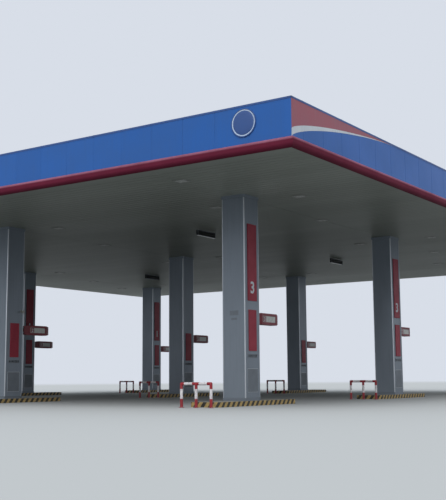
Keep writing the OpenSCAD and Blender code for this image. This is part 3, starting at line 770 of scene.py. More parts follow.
class Solids:
    """Collects closed solids of one finish, which become one piece of the canopy."""

    def __init__(self, shop: Shop, name: str, slot: str) -> None:
        """Starts with nothing.

        Args:
            shop: What finishes the piece.
            name: The piece's name.
            slot: The slot that it takes its finish from.
        """
        self.shop = shop
        self.name = name
        self.slot = slot
        self.shape = bmesh.new()

    def prism(self, outline: Points, depth: float, place: Matrix) -> None:
        """Adds a prism.

        Args:
            outline: Its section, on the place's X and Y.
            depth: How far it reaches along the place's Z.
            place: Where it stands.
        """
        low = [self.shape.verts.new(place @ Vector((x, y, 0))) for x, y in outline]
        high = [self.shape.verts.new(place @ Vector((x, y, depth))) for x, y in outline]
        self.shape.faces.new(low[::-1])
        self.shape.faces.new(high)
        for i in range(len(low)):
            self.shape.faces.new((low[i - 1], low[i], high[i], high[i - 1]))

    def box(self, low: Sequence[float], high: Sequence[float], place: Matrix = Matrix()) -> None:
        """Adds a box between two corners, in a place's own axes."""
        outline = [(low[0], low[1]), (high[0], low[1]), (high[0], high[1]), (low[0], high[1])]
        self.prism(outline, high[2] - low[2], place @ Matrix.Translation((0, 0, low[2])))

    def plate(self, width: float, height: float, thickness: float, place: Matrix) -> None:
        """Adds a plate that stands on a place's plane, with its middle over the origin."""
        self.box((-width / 2, -height / 2, 0), (width / 2, height / 2, thickness), place)

    def frame(self, width: float, height: float, bar: float, depth: float, place: Matrix) -> None:
        """Adds a mitred frame of four bars.

        Args:
            width: Its outer size along the place's X.
            height: Its outer size along the place's Y.
            bar: The width of a bar.
            depth: The thickness of the bars, along Z.
            place: The place of its middle.
        """
        for turn, (across, along) in enumerate(2 * [(height, width), (width, height)]):
            side = shifted(Matrix.Rotation(turn * math.pi / 2, 4, "Z"), y=-across / 2)
            self.prism([(-along / 2, 0), (along / 2, 0), (along / 2 - bar, bar), (bar - along / 2, bar)],
                       depth, place @ side)

    def turned(self, profile: Points, place: Matrix, steps: int = 32) -> None:
        """Adds a solid of revolution about the place's Z.

        Args:
            profile: Closed section as radius and height, with no point on the axis except at its ends.
            place: Where it stands.
            steps: The number of steps round it.
        """
        rings = []
        for radius, height in profile:
            if radius == 0:
                rings.append([self.shape.verts.new(place @ Vector((0, 0, height)))])
                continue
            turns = [2 * math.pi * i / steps for i in range(steps)]
            rings.append([self.shape.verts.new(place @ Vector((
                radius * math.cos(a), radius * math.sin(a), height))) for a in turns])
        for one, two in zip(rings, rings[1:] + rings[:1]):
            for i in range(steps):
                corners = dict.fromkeys((one[(i - 1) % len(one)], one[i % len(one)], two[i % len(two)],
                                         two[(i - 1) % len(two)]))
                if len(corners) > 2:
                    self.shape.faces.new(tuple(corners))

    def mesh(self, mesh: bpy.types.Mesh, place: Matrix) -> None:
        """Adds a copy of a mesh.

        Args:
            mesh: The mesh.
            place: Where it goes.
        """
        copy = mesh.copy()
        copy.transform(place)
        self.shape.from_mesh(copy)
        bpy.data.meshes.remove(copy)

    def finish(self, bevel: float = 0.0) -> bpy.types.Object:
        """Makes the solids one piece of the canopy.

        Args:
            bevel: The width of the bevel on every edge.

        Returns:
            The piece.
        """
        bmesh.ops.recalc_face_normals(self.shape, faces=self.shape.faces)
        if bevel:
            bmesh.ops.bevel(self.shape, geom=self.shape.edges, offset=bevel, segments=1, profile=0.5,
                            affect="EDGES")
        mesh = bpy.data.meshes.new(self.name)
        self.shape.to_mesh(mesh)
        self.shape.free()
        mesh.materials.append(self.shop.paints.by_slot[self.slot])
        piece = bpy.data.objects.new(self.name, mesh)
        bpy.context.scene.collection.objects.link(piece)
        return self.shop.register(piece, self.slot)


class Shop:
    """What every sub-assembly builds with: the layout, the finishes and the Geometry Nodes trees."""

    def __init__(self, layout: Layout, paints: Paints) -> None:
        """Makes the trees.

        Args:
            layout: The canopy's main lines.
            paints: The finishes.
        """
        self.layout = layout
        self.paints = paints
        self.heads = HeadTree()
        self.cells = CellTree()
        self.beads = BeadTree()

    def register(self, piece: bpy.types.Object, slot: str) -> bpy.types.Object:
        """Lets a piece ride on the canopy and reports it with its slot.

        Args:
            piece: The piece.
            slot: The slot of its finish.

        Returns:
            The same piece.
        """
        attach(piece, BODY)
        log.info("%s: %d faces, wears %s", piece.name, len(piece.data.polygons), slot)
        return piece

    @staticmethod
    def points(spots: Iterable[Spot]) -> bpy.types.Mesh:
        """Makes a mesh of bare points with their directions.

        Args:
            spots: The points.

        Returns:
            The mesh.
        """
        spots = list(spots)
        mesh = bpy.data.meshes.new("points")
        mesh.from_pydata([spot.point for spot in spots], [], [])
        outward = mesh.attributes.new("outward", "FLOAT_VECTOR", "POINT")
        outward.data.foreach_set("vector", [c for spot in spots for c in spot.outward])
        return mesh

    def set_heads(self, name: str, spots: Iterable[Spot], head: Head, slot: str, seed: int = 1) -> None:
        """Sets a screw, rivet or bolt head on every spot.

        Args:
            name: The piece's name.
            spots: Where the heads sit.
            head: Their sizes.
            slot: The slot of their finish.
            seed: The seed of their random turns.
        """
        sizes = {"Head width": head.width * MM, "Top width": head.top * MM, "Head height": head.height * MM,
                 "Washer width": head.washer * MM, "Washer thickness": head.washer_t * MM,
                 "Sides": head.sides, "Washer sides": head.washer_sides, "Seed": seed}
        self.register(self.heads.run(name, self.points(spots), sizes, self.paints.by_slot[slot]), slot)

    def set_cells(self, name: str, spots: Iterable[Spot], grid: CellGrid, slot: str) -> None:
        """Sets a grid of cells on every spot.

        Args:
            name: The piece's name.
            spots: The middle of each grid.
            grid: The grid's sizes.
            slot: The slot of their finish.
        """
        sizes = {"Columns": grid.columns, "Rows": grid.rows, "Length": grid.pitch * MM * (grid.columns - 1),
                 "Width": grid.pitch * MM * (grid.rows - 1), "Cell width": grid.cell * MM,
                 "Top width": grid.top * MM, "Cell height": grid.height * MM, "Sides": grid.sides, "Seed": 1}
        self.register(self.cells.run(name, self.points(spots), sizes, self.paints.by_slot[slot]), slot)

    def lay_beads(self, name: str, runs: Iterable[Sequence[Vector]], width: float, slot: str,
                  sides: int = 8) -> None:
        """Lays a round bead or rod along each run of points.

        Args:
            name: The piece's name.
            runs: The runs. One that ends where it starts is closed.
            width: The width of the bead, in metres.
            slot: The slot of its finish.
            sides: The number of sides of its section.
        """
        points: list[Vector] = []
        edges: list[tuple[int, int]] = []
        for run in runs:
            closed = (run[0] - run[-1]).length < WELD
            corners = list(run[:-1] if closed else run)
            first = len(points)
            points += corners
            edges += [(first + i, first + i + 1) for i in range(len(corners) - 1)]
            if closed:
                edges.append((len(points) - 1, first))
        mesh = bpy.data.meshes.new("runs")
        mesh.from_pydata(points, edges, [])
        sizes = {"Width": width, "Sides": sides, "Seed": 1}
        self.register(self.beads.run(name, mesh, sizes, self.paints.by_slot[slot]), slot)


@dataclass
class Parts:
    """A sub-assembly of the canopy, with the sizes of its parts as fields."""

    shop: Shop  # What builds the parts.

    @property
    def layout(self) -> Layout:
        """The canopy's main lines."""
        return self.shop.layout

    def build(self) -> None:
        """Builds the parts."""
        raise NotImplementedError


@dataclass
class IslandParts(Parts):
    """The fixings of the kerb plates and the island guards."""

    screw_pitch: float = 0.52  # The distance between the kerb plate's screws.
    screw_in: float = 0.4  # How far the first screw lies from an island's end.
    end_screw: float = 0.3  # How far a screw on an island's end lies from the middle of that end.
    foot_r: float = 0.1  # The outer radius of a guard post's foot.
    foot_t: float = 0.01  # The thickness of that foot.
    bolt_r: float = 0.075  # The distance of its bolts from the middle of the post.

    def build(self) -> None:
        """Builds the fixings of all islands."""
        layout = self.layout
        low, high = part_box("islands")
        plate_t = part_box("kerb_plates")[1].x - high.x
        side_x = (high.x - low.x) / 2 - layout.row_x + plate_t
        half_l = (high.y - low.y) / 2 - layout.line_y
        places = even(2 * half_l, self.screw_in, self.screw_pitch)
        screws = []
        for column in layout.columns:
            middle = column + Vector((0, (high.y + low.y) / 2, layout.island_h / 2))
            for end in ENDS:
                for along in places:
                    screws.append(Spot(middle + Vector((end * side_x, along, 0)), Vector((end, 0, 0))))
                    if along in (places[0], places[-1]):
                        across = math.copysign(self.end_screw, along)
                        on_end = middle + Vector((across, end * (half_l + plate_t), 0))
                        screws.append(Spot(on_end, Vector((0, end, 0))))
        self.shop.set_heads("kerb_screws", screws, SCREW, "kerb_stripes")
        self.shop.set_heads("guard_bolts", self.guard_bolts(), BOLT, "galvanised", seed=2)

    def guard_bolts(self) -> list[Spot]:
        """Finds the places of four bolts on the foot of each guard post.

        Returns:
            Their spots.
        """
        layout = self.layout
        low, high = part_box("island_guards")
        ahead = low.y + self.foot_r + layout.line_y
        pitch = high.x - self.foot_r - layout.row_x
        feet = [Matrix.Translation(column + Vector((i * pitch, ahead, self.foot_t)))
                for column in layout.columns for i in (-1, 0, 1)]
        return [spot for foot in feet for spot in Spot.square(foot, self.bolt_r * math.sqrt(0.5))]


@dataclass
class ColumnParts(Parts):
    """Rivets on the corner trims, screws in the kick plates and collars, and the seals beside them."""

    rivet_pitch: float = 0.6  # The distance between the trims' rivets.
    rivet_end: float = 0.1  # How far the first rivet lies from a trim's end.
    rivet_in: float = 0.028  # How far a rivet lies from the corner.
    seal_w: float = 0.012  # The width of the seals.
    screw_in: float = 0.07  # How far a screw lies from a corner.

    def build(self) -> None:
        """Builds the fixings and seals of all columns."""
        layout = self.layout
        trim = layout.fitting("corner_trims")
        count = int((trim.height - 2 * self.rivet_end) / self.rivet_pitch) + 1
        rivets = []
        for column, side in product(layout.columns, Side):
            face = layout.column_face(column, side, trim.low_z + self.rivet_end, trim.out)
            rivets += [Spot.on(face, end * (trim.out - self.rivet_in), i * self.rivet_pitch)
                       for end in ENDS for i in range(count)]
        self.shop.set_heads("trim_rivets", rivets, RIVET, "bright_trim")
        self.fix_ring("kick_plates", "kick_plate")
        self.fix_ring("column_collars", "cladding_grey")
        half = layout.column_w / 2 + self.seal_w / 4
        corners = [(-half, -half), (half, -half), (half, half), (-half, half), (-half, -half)]
        runs = [[column + Vector((x, y, z)) for x, y in corners]
                for column in layout.columns for z in (trim.low_z, trim.high_z)]
        self.shop.lay_beads("column_seals", runs, self.seal_w, "frame_steel")

    def fix_ring(self, node: str, slot: str) -> None:
        """Sets screws on a ring of plates round each column.

        Args:
            node: The frame's node of the ring.
            slot: The slot of the screws' finish.
        """
        layout = self.layout
        ring = layout.fitting(node)
        edge = ring.out - self.screw_in
        spots = [Spot.on(layout.column_face(column, side, ring.middle_z, ring.out), x, 0)
                 for column, side in product(layout.columns, Side) for x in (-edge, 0.0, edge)]
        self.shop.set_heads(node + "_screws", spots, SCREW, slot, seed=3)


@dataclass
class BoardParts(Parts):
    """Retaining frames, screws and row numbers of the red boards."""

    bar: float = 0.02  # The width of a retaining bar.
    bar_t: float = 0.006  # How far it stands out from the board.
    screw_pitch: float = 0.45  # The distance between its screws.
    screw_end: float = 0.05  # How far they stay from a board's ends, at least.
    digit_h: float = 0.43  # The height of a row's number.
    digit_z: float = 0.26  # The lower edge of the number, above the board's lower edge.
    digit_t: float = 0.004  # The thickness of the number.

    def build(self) -> None:
        """Builds the parts of all boards."""
        layout = self.layout
        self.build_tall_boards()
        boards = [layout.fitting("number_boards"), layout.fitting("notice_boards")]
        frames = Solids(self.shop, "board_frames", "board_red")
        screws = []
        for column, side in product(layout.columns, LANE_SIDES):
            for board in boards if self.carries_tall(column.x) else boards[1:]:
                face = layout.column_face(column, side, board.middle_z, board.out)
                frames.frame(board.width, board.height, self.bar, self.bar_t, face)
                screws += [Spot.on(shifted(face, z=self.bar_t), end * (board.width - self.bar) / 2, z)
                           for end in ENDS for z in even(board.height, self.screw_end, self.screw_pitch)]
        frames.finish(bevel=SOFT_EDGE)
        self.shop.set_heads("board_screws", screws, SCREW, "board_red", seed=4)
        digits = Solids(self.shop, "row_numbers", "field_white")
        tall = boards[0]
        for column, side, digit in row_numbers(layout, self.digit_h, self.digit_t):
            if self.carries_tall(column.x):
                digits.mesh(digit, layout.column_face(column, side, tall.low_z + self.digit_z, tall.out))
        digits.finish()

    def carries_tall(self, x: float) -> bool:
        """Tells whether the row of columns at x carries the tall boards, which the middle row doesn't."""
        return abs(x) > self.layout.row_x / 2

    def build_tall_boards(self) -> None:
        """Builds the tall boards from the frame's own, without those of the middle row."""
        boards = Solids(self.shop, "tall_boards", "board_red")
        boards.shape.from_mesh(frame["nodes"]["number_boards"].data)
        bmesh.ops.remove_doubles(boards.shape, verts=boards.shape.verts, dist=WELD)
        inner = [vert for vert in boards.shape.verts if not self.carries_tall(vert.co.x)]
        bmesh.ops.delete(boards.shape, geom=inner, context="VERTS")
        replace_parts(boards.finish(), "number_boards")


def digit_mesh(number: int, height: float, thickness: float) -> bpy.types.Mesh:
    """Makes a plain bold number, centred on X, standing on Y = 0 and facing +Z.

    Args:
        number: The number.
        height: Its height.
        thickness: Its thickness.

    Returns:
        The mesh.
    """
    curve = bpy.data.curves.new("number", "FONT")
    curve.body = str(number)
    curve.align_x = "CENTER"
    curve.extrude = thickness / 2
    curve.offset = DIGIT_BOLD
    curve.resolution_u = DIGIT_STEPS
    carrier = bpy.data.objects.new("number", curve)
    bpy.context.scene.collection.objects.link(carrier)
    done = carrier.evaluated_get(bpy.context.evaluated_depsgraph_get())
    mesh = bpy.data.meshes.new_from_object(done)
    bpy.data.objects.remove(carrier)
    bpy.data.curves.remove(curve)
    ys = [v.co.y for v in mesh.vertices]
    scale = height / (max(ys) - min(ys))
    mesh.transform(Matrix.Diagonal((scale, scale, 1, 1)) @ Matrix.Translation((0, -min(ys), thickness / 2)))
    return mesh


def row_numbers(layout: Layout, height: float,
                thickness: float) -> Iterator[tuple[Vector, Side, bpy.types.Mesh]]:
    """Goes through the lane faces of all columns with the number of their row.

    Args:
        layout: The canopy's main lines.
        height: The number's height.
        thickness: Its thickness.

    Yields:
        The column's middle, the side that the face looks to and the number's mesh.
    """
    for number, x in enumerate(layout.rows, start=1):
        mesh = digit_mesh(number, height, thickness)
        for y, side in product(layout.lines, LANE_SIDES):
            yield Vector((x, y, 0)), side, mesh
        bpy.data.meshes.remove(mesh)


@dataclass
class HatchParts(Parts):
    """Surround, hinges and lock of each access hatch, and the louvres of each vent."""

    surround: float = 0.014  # The width of the surround.
    surround_t: float = 0.009  # Its thickness.
    gap: float = 0.004  # The gap between the hatch and the surround.
    hinge_d: float = 0.016  # The diameter of a hinge's barrel.
    hinge_l: float = 0.08  # The length of that barrel.
    hinge_z: float = 0.25  # How far a hinge lies from the hatch's middle.
    hinge_sides: int = 10  # The number of sides of the barrel.
    lock_in: float = 0.05  # How far a lock lies from the hatch's edge.
    lock_z: float = 0.2  # How far a lock lies above or below the hatch's middle.
    # The sizes of a lock.
    lock: Head = Head(width=26, height=5, top=20, washer=40, washer_t=2.5, sides=12, washer_sides=16)
    slots: int = 7  # The number of slots of a vent.
    backing_t: float = 0.002  # The thickness of the black sheet in a slot, painted shade where the recess behind the louvres would be dark.
    blades: int = 4  # The number of blades in a slot.
    blade_w: float = 0.01  # The width of a blade.
    blade_t: float = 0.002  # Its thickness.
    blade_out: float = 0.006  # How far its middle lies in front of the column's cladding.
    blade_tilt: float = -math.radians(35)  # Its tilt, in radians.

    def build(self) -> None:
        """Builds the parts of all hatches and vents."""
        layout = self.layout
        hatch = layout.fitting("access_hatches")
        half_column = layout.column_w / 2
        plate_t = hatch.out - half_column
        grow = 2 * (self.gap + self.surround)
        r = self.hinge_d / 2
        rims = Solids(self.shop, "hatch_surrounds", "bright_trim")
        hinges = Solids(self.shop, "hatch_hinges", "kick_plate")
        locks = []
        for face in layout.lane_faces(hatch.middle_z, half_column):
            rims.frame(hatch.width + grow, hatch.height + grow, self.surround, self.surround_t, face)
            for z in (-self.hinge_z, self.hinge_z):
                barrel = shifted(face, -hatch.width / 2, z + self.hinge_l / 2, plate_t) @ OUTWARD
                hinges.turned([(0, 0), (r, 0), (r, self.hinge_l), (0, self.hinge_l)], barrel,
                              self.hinge_sides)
            locks += [Spot.on(shifted(face, z=plate_t), hatch.width / 2 - self.lock_in, end * self.lock_z)
                      for end in ENDS]
        rims.finish(bevel=SOFT_EDGE)
        hinges.finish()
        self.shop.set_heads("hatch_locks", locks, self.lock, "kick_plate", seed=5)
        self.build_vents()

    def build_vents(self) -> None:
        """Builds the black sheets of painted shade and the blades, black as painted shade too, in the slots
        of each vent.
        """
        layout = self.layout
        vent = layout.fitting("vent_grilles")
        slot_w = vent.width / (2 * self.slots + 1)
        slot_low, slot_h = vent.height / 5, vent.height * 3 / 5
        # A black sheet in each slot: painted shade where the recess behind the louvres would be dark.
        shade_sheet = Solids(self.shop, "vent_painted_shade", "board_black")
        # The blades wear gloss black, painted shade that darkens the slots.
        blades = Solids(self.shop, "vent_blades", "board_black")
        tilt = Matrix.Rotation(self.blade_tilt, 4, "X")
        for face in layout.lane_faces(vent.low_z, layout.column_w / 2):
            for i in range(self.slots):
                x = (2 * i + 1.5) * slot_w - vent.width / 2
                shade_sheet.plate(slot_w, slot_h, self.backing_t, shifted(face, x, slot_low + slot_h / 2))
                for j in range(self.blades):
                    y = slot_low + (j + 0.5) * slot_h / self.blades
                    blade = shifted(face, x, y, self.blade_out) @ tilt
                    blades.plate(slot_w, self.blade_t, self.blade_w, shifted(blade, z=-self.blade_w / 2))
        shade_sheet.finish()
        blades.finish()


@dataclass
class NumberBoxParts(Parts):
    """Pale faces, retaining frames and row numbers of the projecting boxes, and the plates of their arms."""

    end_l: float = 0.2  # The length of a box's slanted end.
    bar: float = 0.1  # The width of the red frame round a face.
    bar_t: float = 0.012  # How far that frame stands out.
    bar_edge: float = 0.002  # The width of its bevel.
    face_t: float = 0.006  # How far the pale face stands out.
    tile: float = 0.19  # The width of the red tile that carries the row's number.
    tile_in: float = 0.03  # How far the tile lies from the pale face's edge.
    digit_h: float = 0.15  # The height of the number.
    sheet_t: float = 0.002  # The thickness of the tile and of the number.
    plate_w: float = 0.13  # The width of an arm's end plate.
    plate_t: float = 0.008  # Its thickness.
    bolt_in: float = 0.048  # How far a bolt lies from the middle of the plate, along both edges.
    bolt: Head = Head(width=16, height=8, top=14, washer=20, washer_t=2, sides=6)  # The sizes of a bolt.

    def build(self) -> None:
        """Builds the parts of all boxes."""
        layout = self.layout
        low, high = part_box("flag_boxes")
        near, far = low.y + layout.line_y, high.y - layout.line_y
        width, height = far - near - 2 * self.end_l, high.z - low.z
        pale_w, pale_h = width - 2 * self.bar, height - 2 * self.bar
        behind = Vector((0, (near + far) / 2, 0))
        frames = Solids(self.shop, "number_box_frames", "flag_casing")
        faces = Solids(self.shop, "number_box_faces", "lamp_lens")
        tiles = Solids(self.shop, "number_box_tiles", "flag_casing")
        digits = Solids(self.shop, "number_box_digits", "field_white")
        for column, side, digit in row_numbers(layout, self.digit_h, self.sheet_t):
            face = layout.column_face(column + behind, side, (low.z + high.z) / 2, high.x - layout.row_x)
            frames.frame(width, height, self.bar, self.bar_t, face)
            faces.plate(pale_w, pale_h, self.face_t, face)
            tile = shifted(face, self.tile_in + (self.tile - pale_w) / 2, z=self.face_t)
            tiles.plate(self.tile, self.tile, self.sheet_t, tile)
            digits.mesh(digit, shifted(tile, y=-self.digit_h / 2, z=self.sheet_t))
        frames.finish(bevel=self.bar_edge)
        faces.finish(bevel=SOFT_EDGE)
        tiles.finish()
        digits.finish()
        self.build_plates()

    def build_plates(self) -> None:
        """Builds the bolted end plates of the arms."""
        layout = self.layout
        arm = layout.fitting("flag_arms")
        plates = Solids(self.shop, "arm_plates", "cladding_grey")
        bolts = []
        for column, z in product(layout.columns, (arm.low_z + arm.out, arm.high_z - arm.out)):
            face = layout.column_face(column, Side.BACK, z, layout.column_w / 2)
            plates.plate(self.plate_w, self.plate_w, self.plate_t, face)
            bolts += Spot.square(shifted(face, z=self.plate_t), self.bolt_in)
        plates.finish(bevel=SOFT_EDGE)
        self.shop.set_heads("arm_bolts", bolts, self.bolt, "galvanised", seed=6)


@dataclass
class SmallParts(Parts):
    """The bare plates on the front right column and the small lamp on the front middle column."""

    plate_x: float = 0.02  # How far the plates lie from the column's middle.
    # The height of the middle, the width and the height of each plate.
    plate_sizes: tuple[tuple[float, float, float], ...] = ((3.23, 0.36, 0.16), (3.02, 0.24, 0.07))
    plate_t: float = 0.003  # The thickness of a plate.
    rim_w: float = 0.014  # The width of the rim round it.
    rim_out: float = 0.004  # How far the rim reaches past the plate.
    rim_t: float = 0.004  # The thickness of the rim.
    lamp_y: float = 0.36  # How far the lamp lies behind the column's middle.
    lamp_z: float = 3.86  # The height of the lamp.
    # The width, height and thickness of its base plate.
    base: tuple[float, float, float] = (0.1, 0.12, 0.012)
    arm_w: float = 0.024  # The width of its arm.
    arm_l: float = 0.068  # The length of its arm.
    head_out: float = 0.09  # How far the back of its head lies from the column.
    head_tilt: float = math.radians(35)  # The tilt of its head, in radians.
    # The section of its head, as radius and distance from the back.
    head: Points = ((0, 0), (0.03, 0), (0.062, 0.02), (0.066, 0.07), (0.06, 0.074), (0.056, 0.06), (0, 0.06))
    # The section of its lens, likewise.
    glass: Points = ((0, 0.06), (0.055, 0.06), (0.045, 0.066), (0, 0.07))
    round_steps: int = 24  # The number of steps round its head.

    def build(self) -> None:
        """Builds both."""
        layout = self.layout
        front_right = Vector((layout.row_x, -layout.line_y, 0))
        plates = Solids(self.shop, "bare_plates", "hatch_grey")
        rims = Solids(self.shop, "bare_plate_rims", "hatch_grey")
        for z, width, height in self.plate_sizes:
            face = shifted(layout.column_face(front_right, Side.FRONT, z, layout.column_w / 2), self.plate_x)
            plates.plate(width, height, self.plate_t, face)
            rims.frame(width + 2 * self.rim_out, height + 2 * self.rim_out, self.rim_w, self.rim_t, face)
        plates.finish()
        rims.finish(bevel=FINE_EDGE)
        self.build_lamp()

    def build_lamp(self) -> None:
        """Builds the small lamp: base plate, arm, tilted head and lens."""
        layout = self.layout
        column = Vector((0, -layout.line_y, 0))
        face = shifted(layout.column_face(column, Side.RIGHT, self.lamp_z, layout.column_w / 2), self.lamp_y)
        place = shifted(face, z=self.head_out) @ Matrix.Rotation(self.head_tilt, 4, "X")
        body = Solids(self.shop, "small_lamp", "lamp_white")
        body.plate(*self.base, face)
        body.plate(self.arm_w, self.arm_w, self.arm_l, shifted(face, z=self.base[2]))
        body.turned(self.head, place, self.round_steps)
        body.finish(bevel=FINE_EDGE)
        lens = Solids(self.shop, "small_lamp_lens", "lamp_lens")
        lens.turned(self.glass, place, self.round_steps)
        lens.finish()


@dataclass
class SoffitParts(Parts):
    """Bezels and lens prisms of the lights, seals of the soffit fields, and fittings of the lane boards."""

    bezel: float = 0.026  # The width of a light's bezel.
    bezel_t: float = 0.005  # Its thickness.
    bezel_edge: float = 0.0012  # The width of its bevel.
    bezel_play: float = 0.01  # How much smaller it is than the light's body.
    # The prisms on a lens.
    prisms: CellGrid = CellGrid(columns=7, rows=7, pitch=46, cell=62, top=18, height=5, sides=4)
    seal_up: float = 0.006  # How far the seals lie above the face of the soffit.
    seal_t: float = 0.01  # Their thickness.
    seal_half: float = 0.01  # Half the width of the seals between the fields.
    trim_out: float = 0.17  # How far the trim at the edge band reaches out over the band's return.
    trim_in: float = 0.03  # How far it laps over the soffit.
    trim_t: float = 0.003  # Its thickness.
    board_bar: float = 0.024  # The width of the bars round a lane board.
    board_bar_t: float = 0.006  # Their thickness.
    # The dots on a lane board's faces.
    dots: CellGrid = CellGrid(columns=6, rows=42, pitch=30, cell=15, top=9, height=3, sides=8)
    board_w: float = 0.08  # The thickness of a lane board.
    hanger_pitch: float = 0.9  # The distance between the hangers of a board.
    # The sizes of a hanger's nut.
    nut: Head = Head(width=36, height=10, top=34, washer=56, washer_t=2, sides=6, washer_sides=16)
    # The sizes of its rosette.
    rosette: Head = Head(width=50, height=8, top=34, washer=90, washer_t=2, sides=16, washer_sides=20)

    def build(self) -> None:
        """Builds the soffit's parts."""
        self.build_lights()
        self.build_seals()
        self.build_lane_boards()

    def light_places(self) -> list[Matrix]:
        """Finds the middle of each light's lens, from the lens node's separate solids.

        Returns:
            A place for each light, with Z pointing down.
        """
        shape = bmesh.new()
        shape.from_mesh(frame["nodes"]["light_lenses"].data)
        bmesh.ops.remove_doubles(shape, verts=shape.verts, dist=WELD)
        left = set(shape.verts)
        places = []
        while left:
            group, edge = set(), [left.pop()]
            while edge:
                vert = edge.pop()
                group.add(vert)
                for link in vert.link_edges:
                    other = link.other_vert(vert)
                    if other in left:
                        left.remove(other)
                        edge.append(other)
            low, high = ([pick(vert.co[i] for vert in group) for i in range(3)] for pick in (min, max))
            middle = ((low[0] + high[0]) / 2, (low[1] + high[1]) / 2, low[2])
            places.append(Matrix.Translation(middle) @ DOWNWARD)
        shape.free()
        # Sorted to the millimetre, because the screws' spins follow this order and stay the same each run.
        return sorted(places, key=lambda place: tuple(round(value, 3) for value in place.translation))

    def build_lights(self) -> None:
        """Builds the bezels, their screws and the prisms on the lenses."""
        places = self.light_places()
        lens_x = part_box("light_lenses")[1].x
        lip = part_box("light_bodies")[1].x - lens_x
        lens_w = 2 * (lens_x - max(place.translation.x for place in places))
        width = lens_w + 2 * lip - self.bezel_play
        bezels = Solids(self.shop, "light_bezels", "lamp_white")
        screws = []
        for place in places:
            bezels.frame(width, width, self.bezel, self.bezel_t, place)
            screws += Spot.square(shifted(place, z=self.bezel_t), (width - self.bezel) / 2)
        bezels.finish(bevel=self.bezel_edge)
        self.shop.set_heads("light_screws", screws, SCREW, "lamp_white", seed=7)
        self.shop.set_cells("lens_prisms", [Spot.on(place, 0, 0) for place in places], self.prisms,
                            "lamp_lens")

    def build_seals(self) -> None:
        """Builds the dark seals between the soffit fields and the trim along the edge band."""
        layout = self.layout
        low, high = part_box("soffit_edges")
        seals = Solids(self.shop, "field_seals", "board_black")
        half = layout.column_w / 2
        stops = [low.y, *(y + end * half for y in layout.lines for end in ENDS), high.y]
        z = layout.soffit_z + self.seal_up
        for x in layout.rows:
            for y0, y1 in zip(stops[0::2], stops[1::2]):
                seals.box((x - self.seal_half, y0, z), (x + self.seal_half, y1, z + self.seal_t))
        seals.finish()
        trim = Solids(self.shop, "soffit_edge_trim", "soffit_grey")
        grow = 2 * self.trim_out
        trim.frame(high.x - low.x + grow, high.y - low.y + grow, self.trim_out + self.trim_in, self.trim_t,
                   Matrix.Translation((0, 0, layout.soffit_z)) @ DOWNWARD)
        trim.finish()

    def build_lane_boards(self) -> None:
        """Builds the bars and dots of the lane boards, and the nuts and rosettes of their hangers."""
        layout = self.layout
        low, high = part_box("lane_boards")
        out = high.x - self.board_w / 2
        length = high.y - low.y - layout.line_y
        bars = Solids(self.shop, "lane_board_bars", "frame_steel")
        faces, nuts, rosettes = [], [], []
        for x, y in product((-out, out), (low.y + length / 2, high.y - length / 2)):
            for side in LANE_SIDES:
                place = layout.column_face(Vector((x, y, 0)), side, (low.z + high.z) / 2, self.board_w / 2)
                bars.frame(length, high.z - low.z, self.board_bar, self.board_bar_t, place)
                faces.append(Spot.on(place, 0, 0))
            for end in ENDS:
                along = y + end * self.hanger_pitch / 2
                nuts.append(Spot(Vector((x, along, high.z)), Vector((0, 0, 1))))
                rosettes.append(Spot(Vector((x, along, layout.soffit_z)), Vector((0, 0, -1))))
        bars.finish(bevel=SOFT_EDGE)
        self.shop.set_cells("lane_board_dots", faces, self.dots, "board_black")
        self.shop.set_heads("hanger_nuts", nuts, self.nut, "galvanised")
        self.shop.set_heads("hanger_rosettes", rosettes, self.rosette, "galvanised")


@dataclass
class FasciaParts(Parts):
    """Seals in the fascia's joints and rivets along the panels' edges."""

    pitch: float = 1.22  # The width of a panel.
    seal_w: float = 0.0125  # The width of the seal in a joint.
    seal_in: float = 0.0065  # How far the seal's middle lies behind the fascia's face.
    seal_low: float = 0.001  # How far a seal begins above the panels' lower edge.
    seal_lap: float = 0.02  # How far it reaches under the coping.
    rivet_in: float = 0.035  # How far the rivets lie from a panel's lower and upper edge.
    rivets: int = 4  # The number of rivets on a panel's edge.
    rivet_clear: float = 0.1  # How far the rivets stay from a corner and from the badge.
    fields_l: float = 7.1  # How far the colour fields keep rivets away from a corner.

    def build(self) -> None:
        """Builds the seals and rivets of all four sides."""
        layout = self.layout
        low, high = layout.panel_z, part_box("copings_ends")[0].z
        runs, rivets = [], []
        for side in Side:
            face, half_l = layout.fascia_face(side), layout.half_l(side)
            joints = about_middle(half_l, self.pitch)
            runs += [[face @ Vector((x, z, -self.seal_in))
                      for z in (low + self.seal_low, high + self.seal_lap)]
                     for x in joints]
            for start, j in product([joints[0] - self.pitch, *joints], range(self.rivets)):
                x = start + (j + 0.5) / self.rivets * self.pitch
                if abs(x) < half_l - self.rivet_clear:
                    rivets += [Spot.on(face, x, z) for z in (low + self.rivet_in, high - self.rivet_in)]
        self.shop.lay_beads("fascia_seals", runs, self.seal_w, "fascia_blue", sides=6)
        self.shop.set_heads("fascia_rivets", self.on_plain_panels(rivets), RIVET, "fascia_blue", seed=8)

    def on_plain_panels(self, spots: list[Spot]) -> list[Spot]:
        """Leaves out the rivets that the colour fields and the badge cover.

        Args:
            spots: All rivets.

        Returns:
            Those on plain blue panels.
        """
        low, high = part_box("blank_badge")
        left, right = low.x - self.rivet_clear, high.x + self.rivet_clear
        reach = self.layout.half_d - self.fields_l
        return [spot for spot in spots if (
            abs(spot.point.y) <= reach if abs(spot.outward.x) > 0.5
            else spot.outward.y > 0 or not left < spot.point.x < right)]


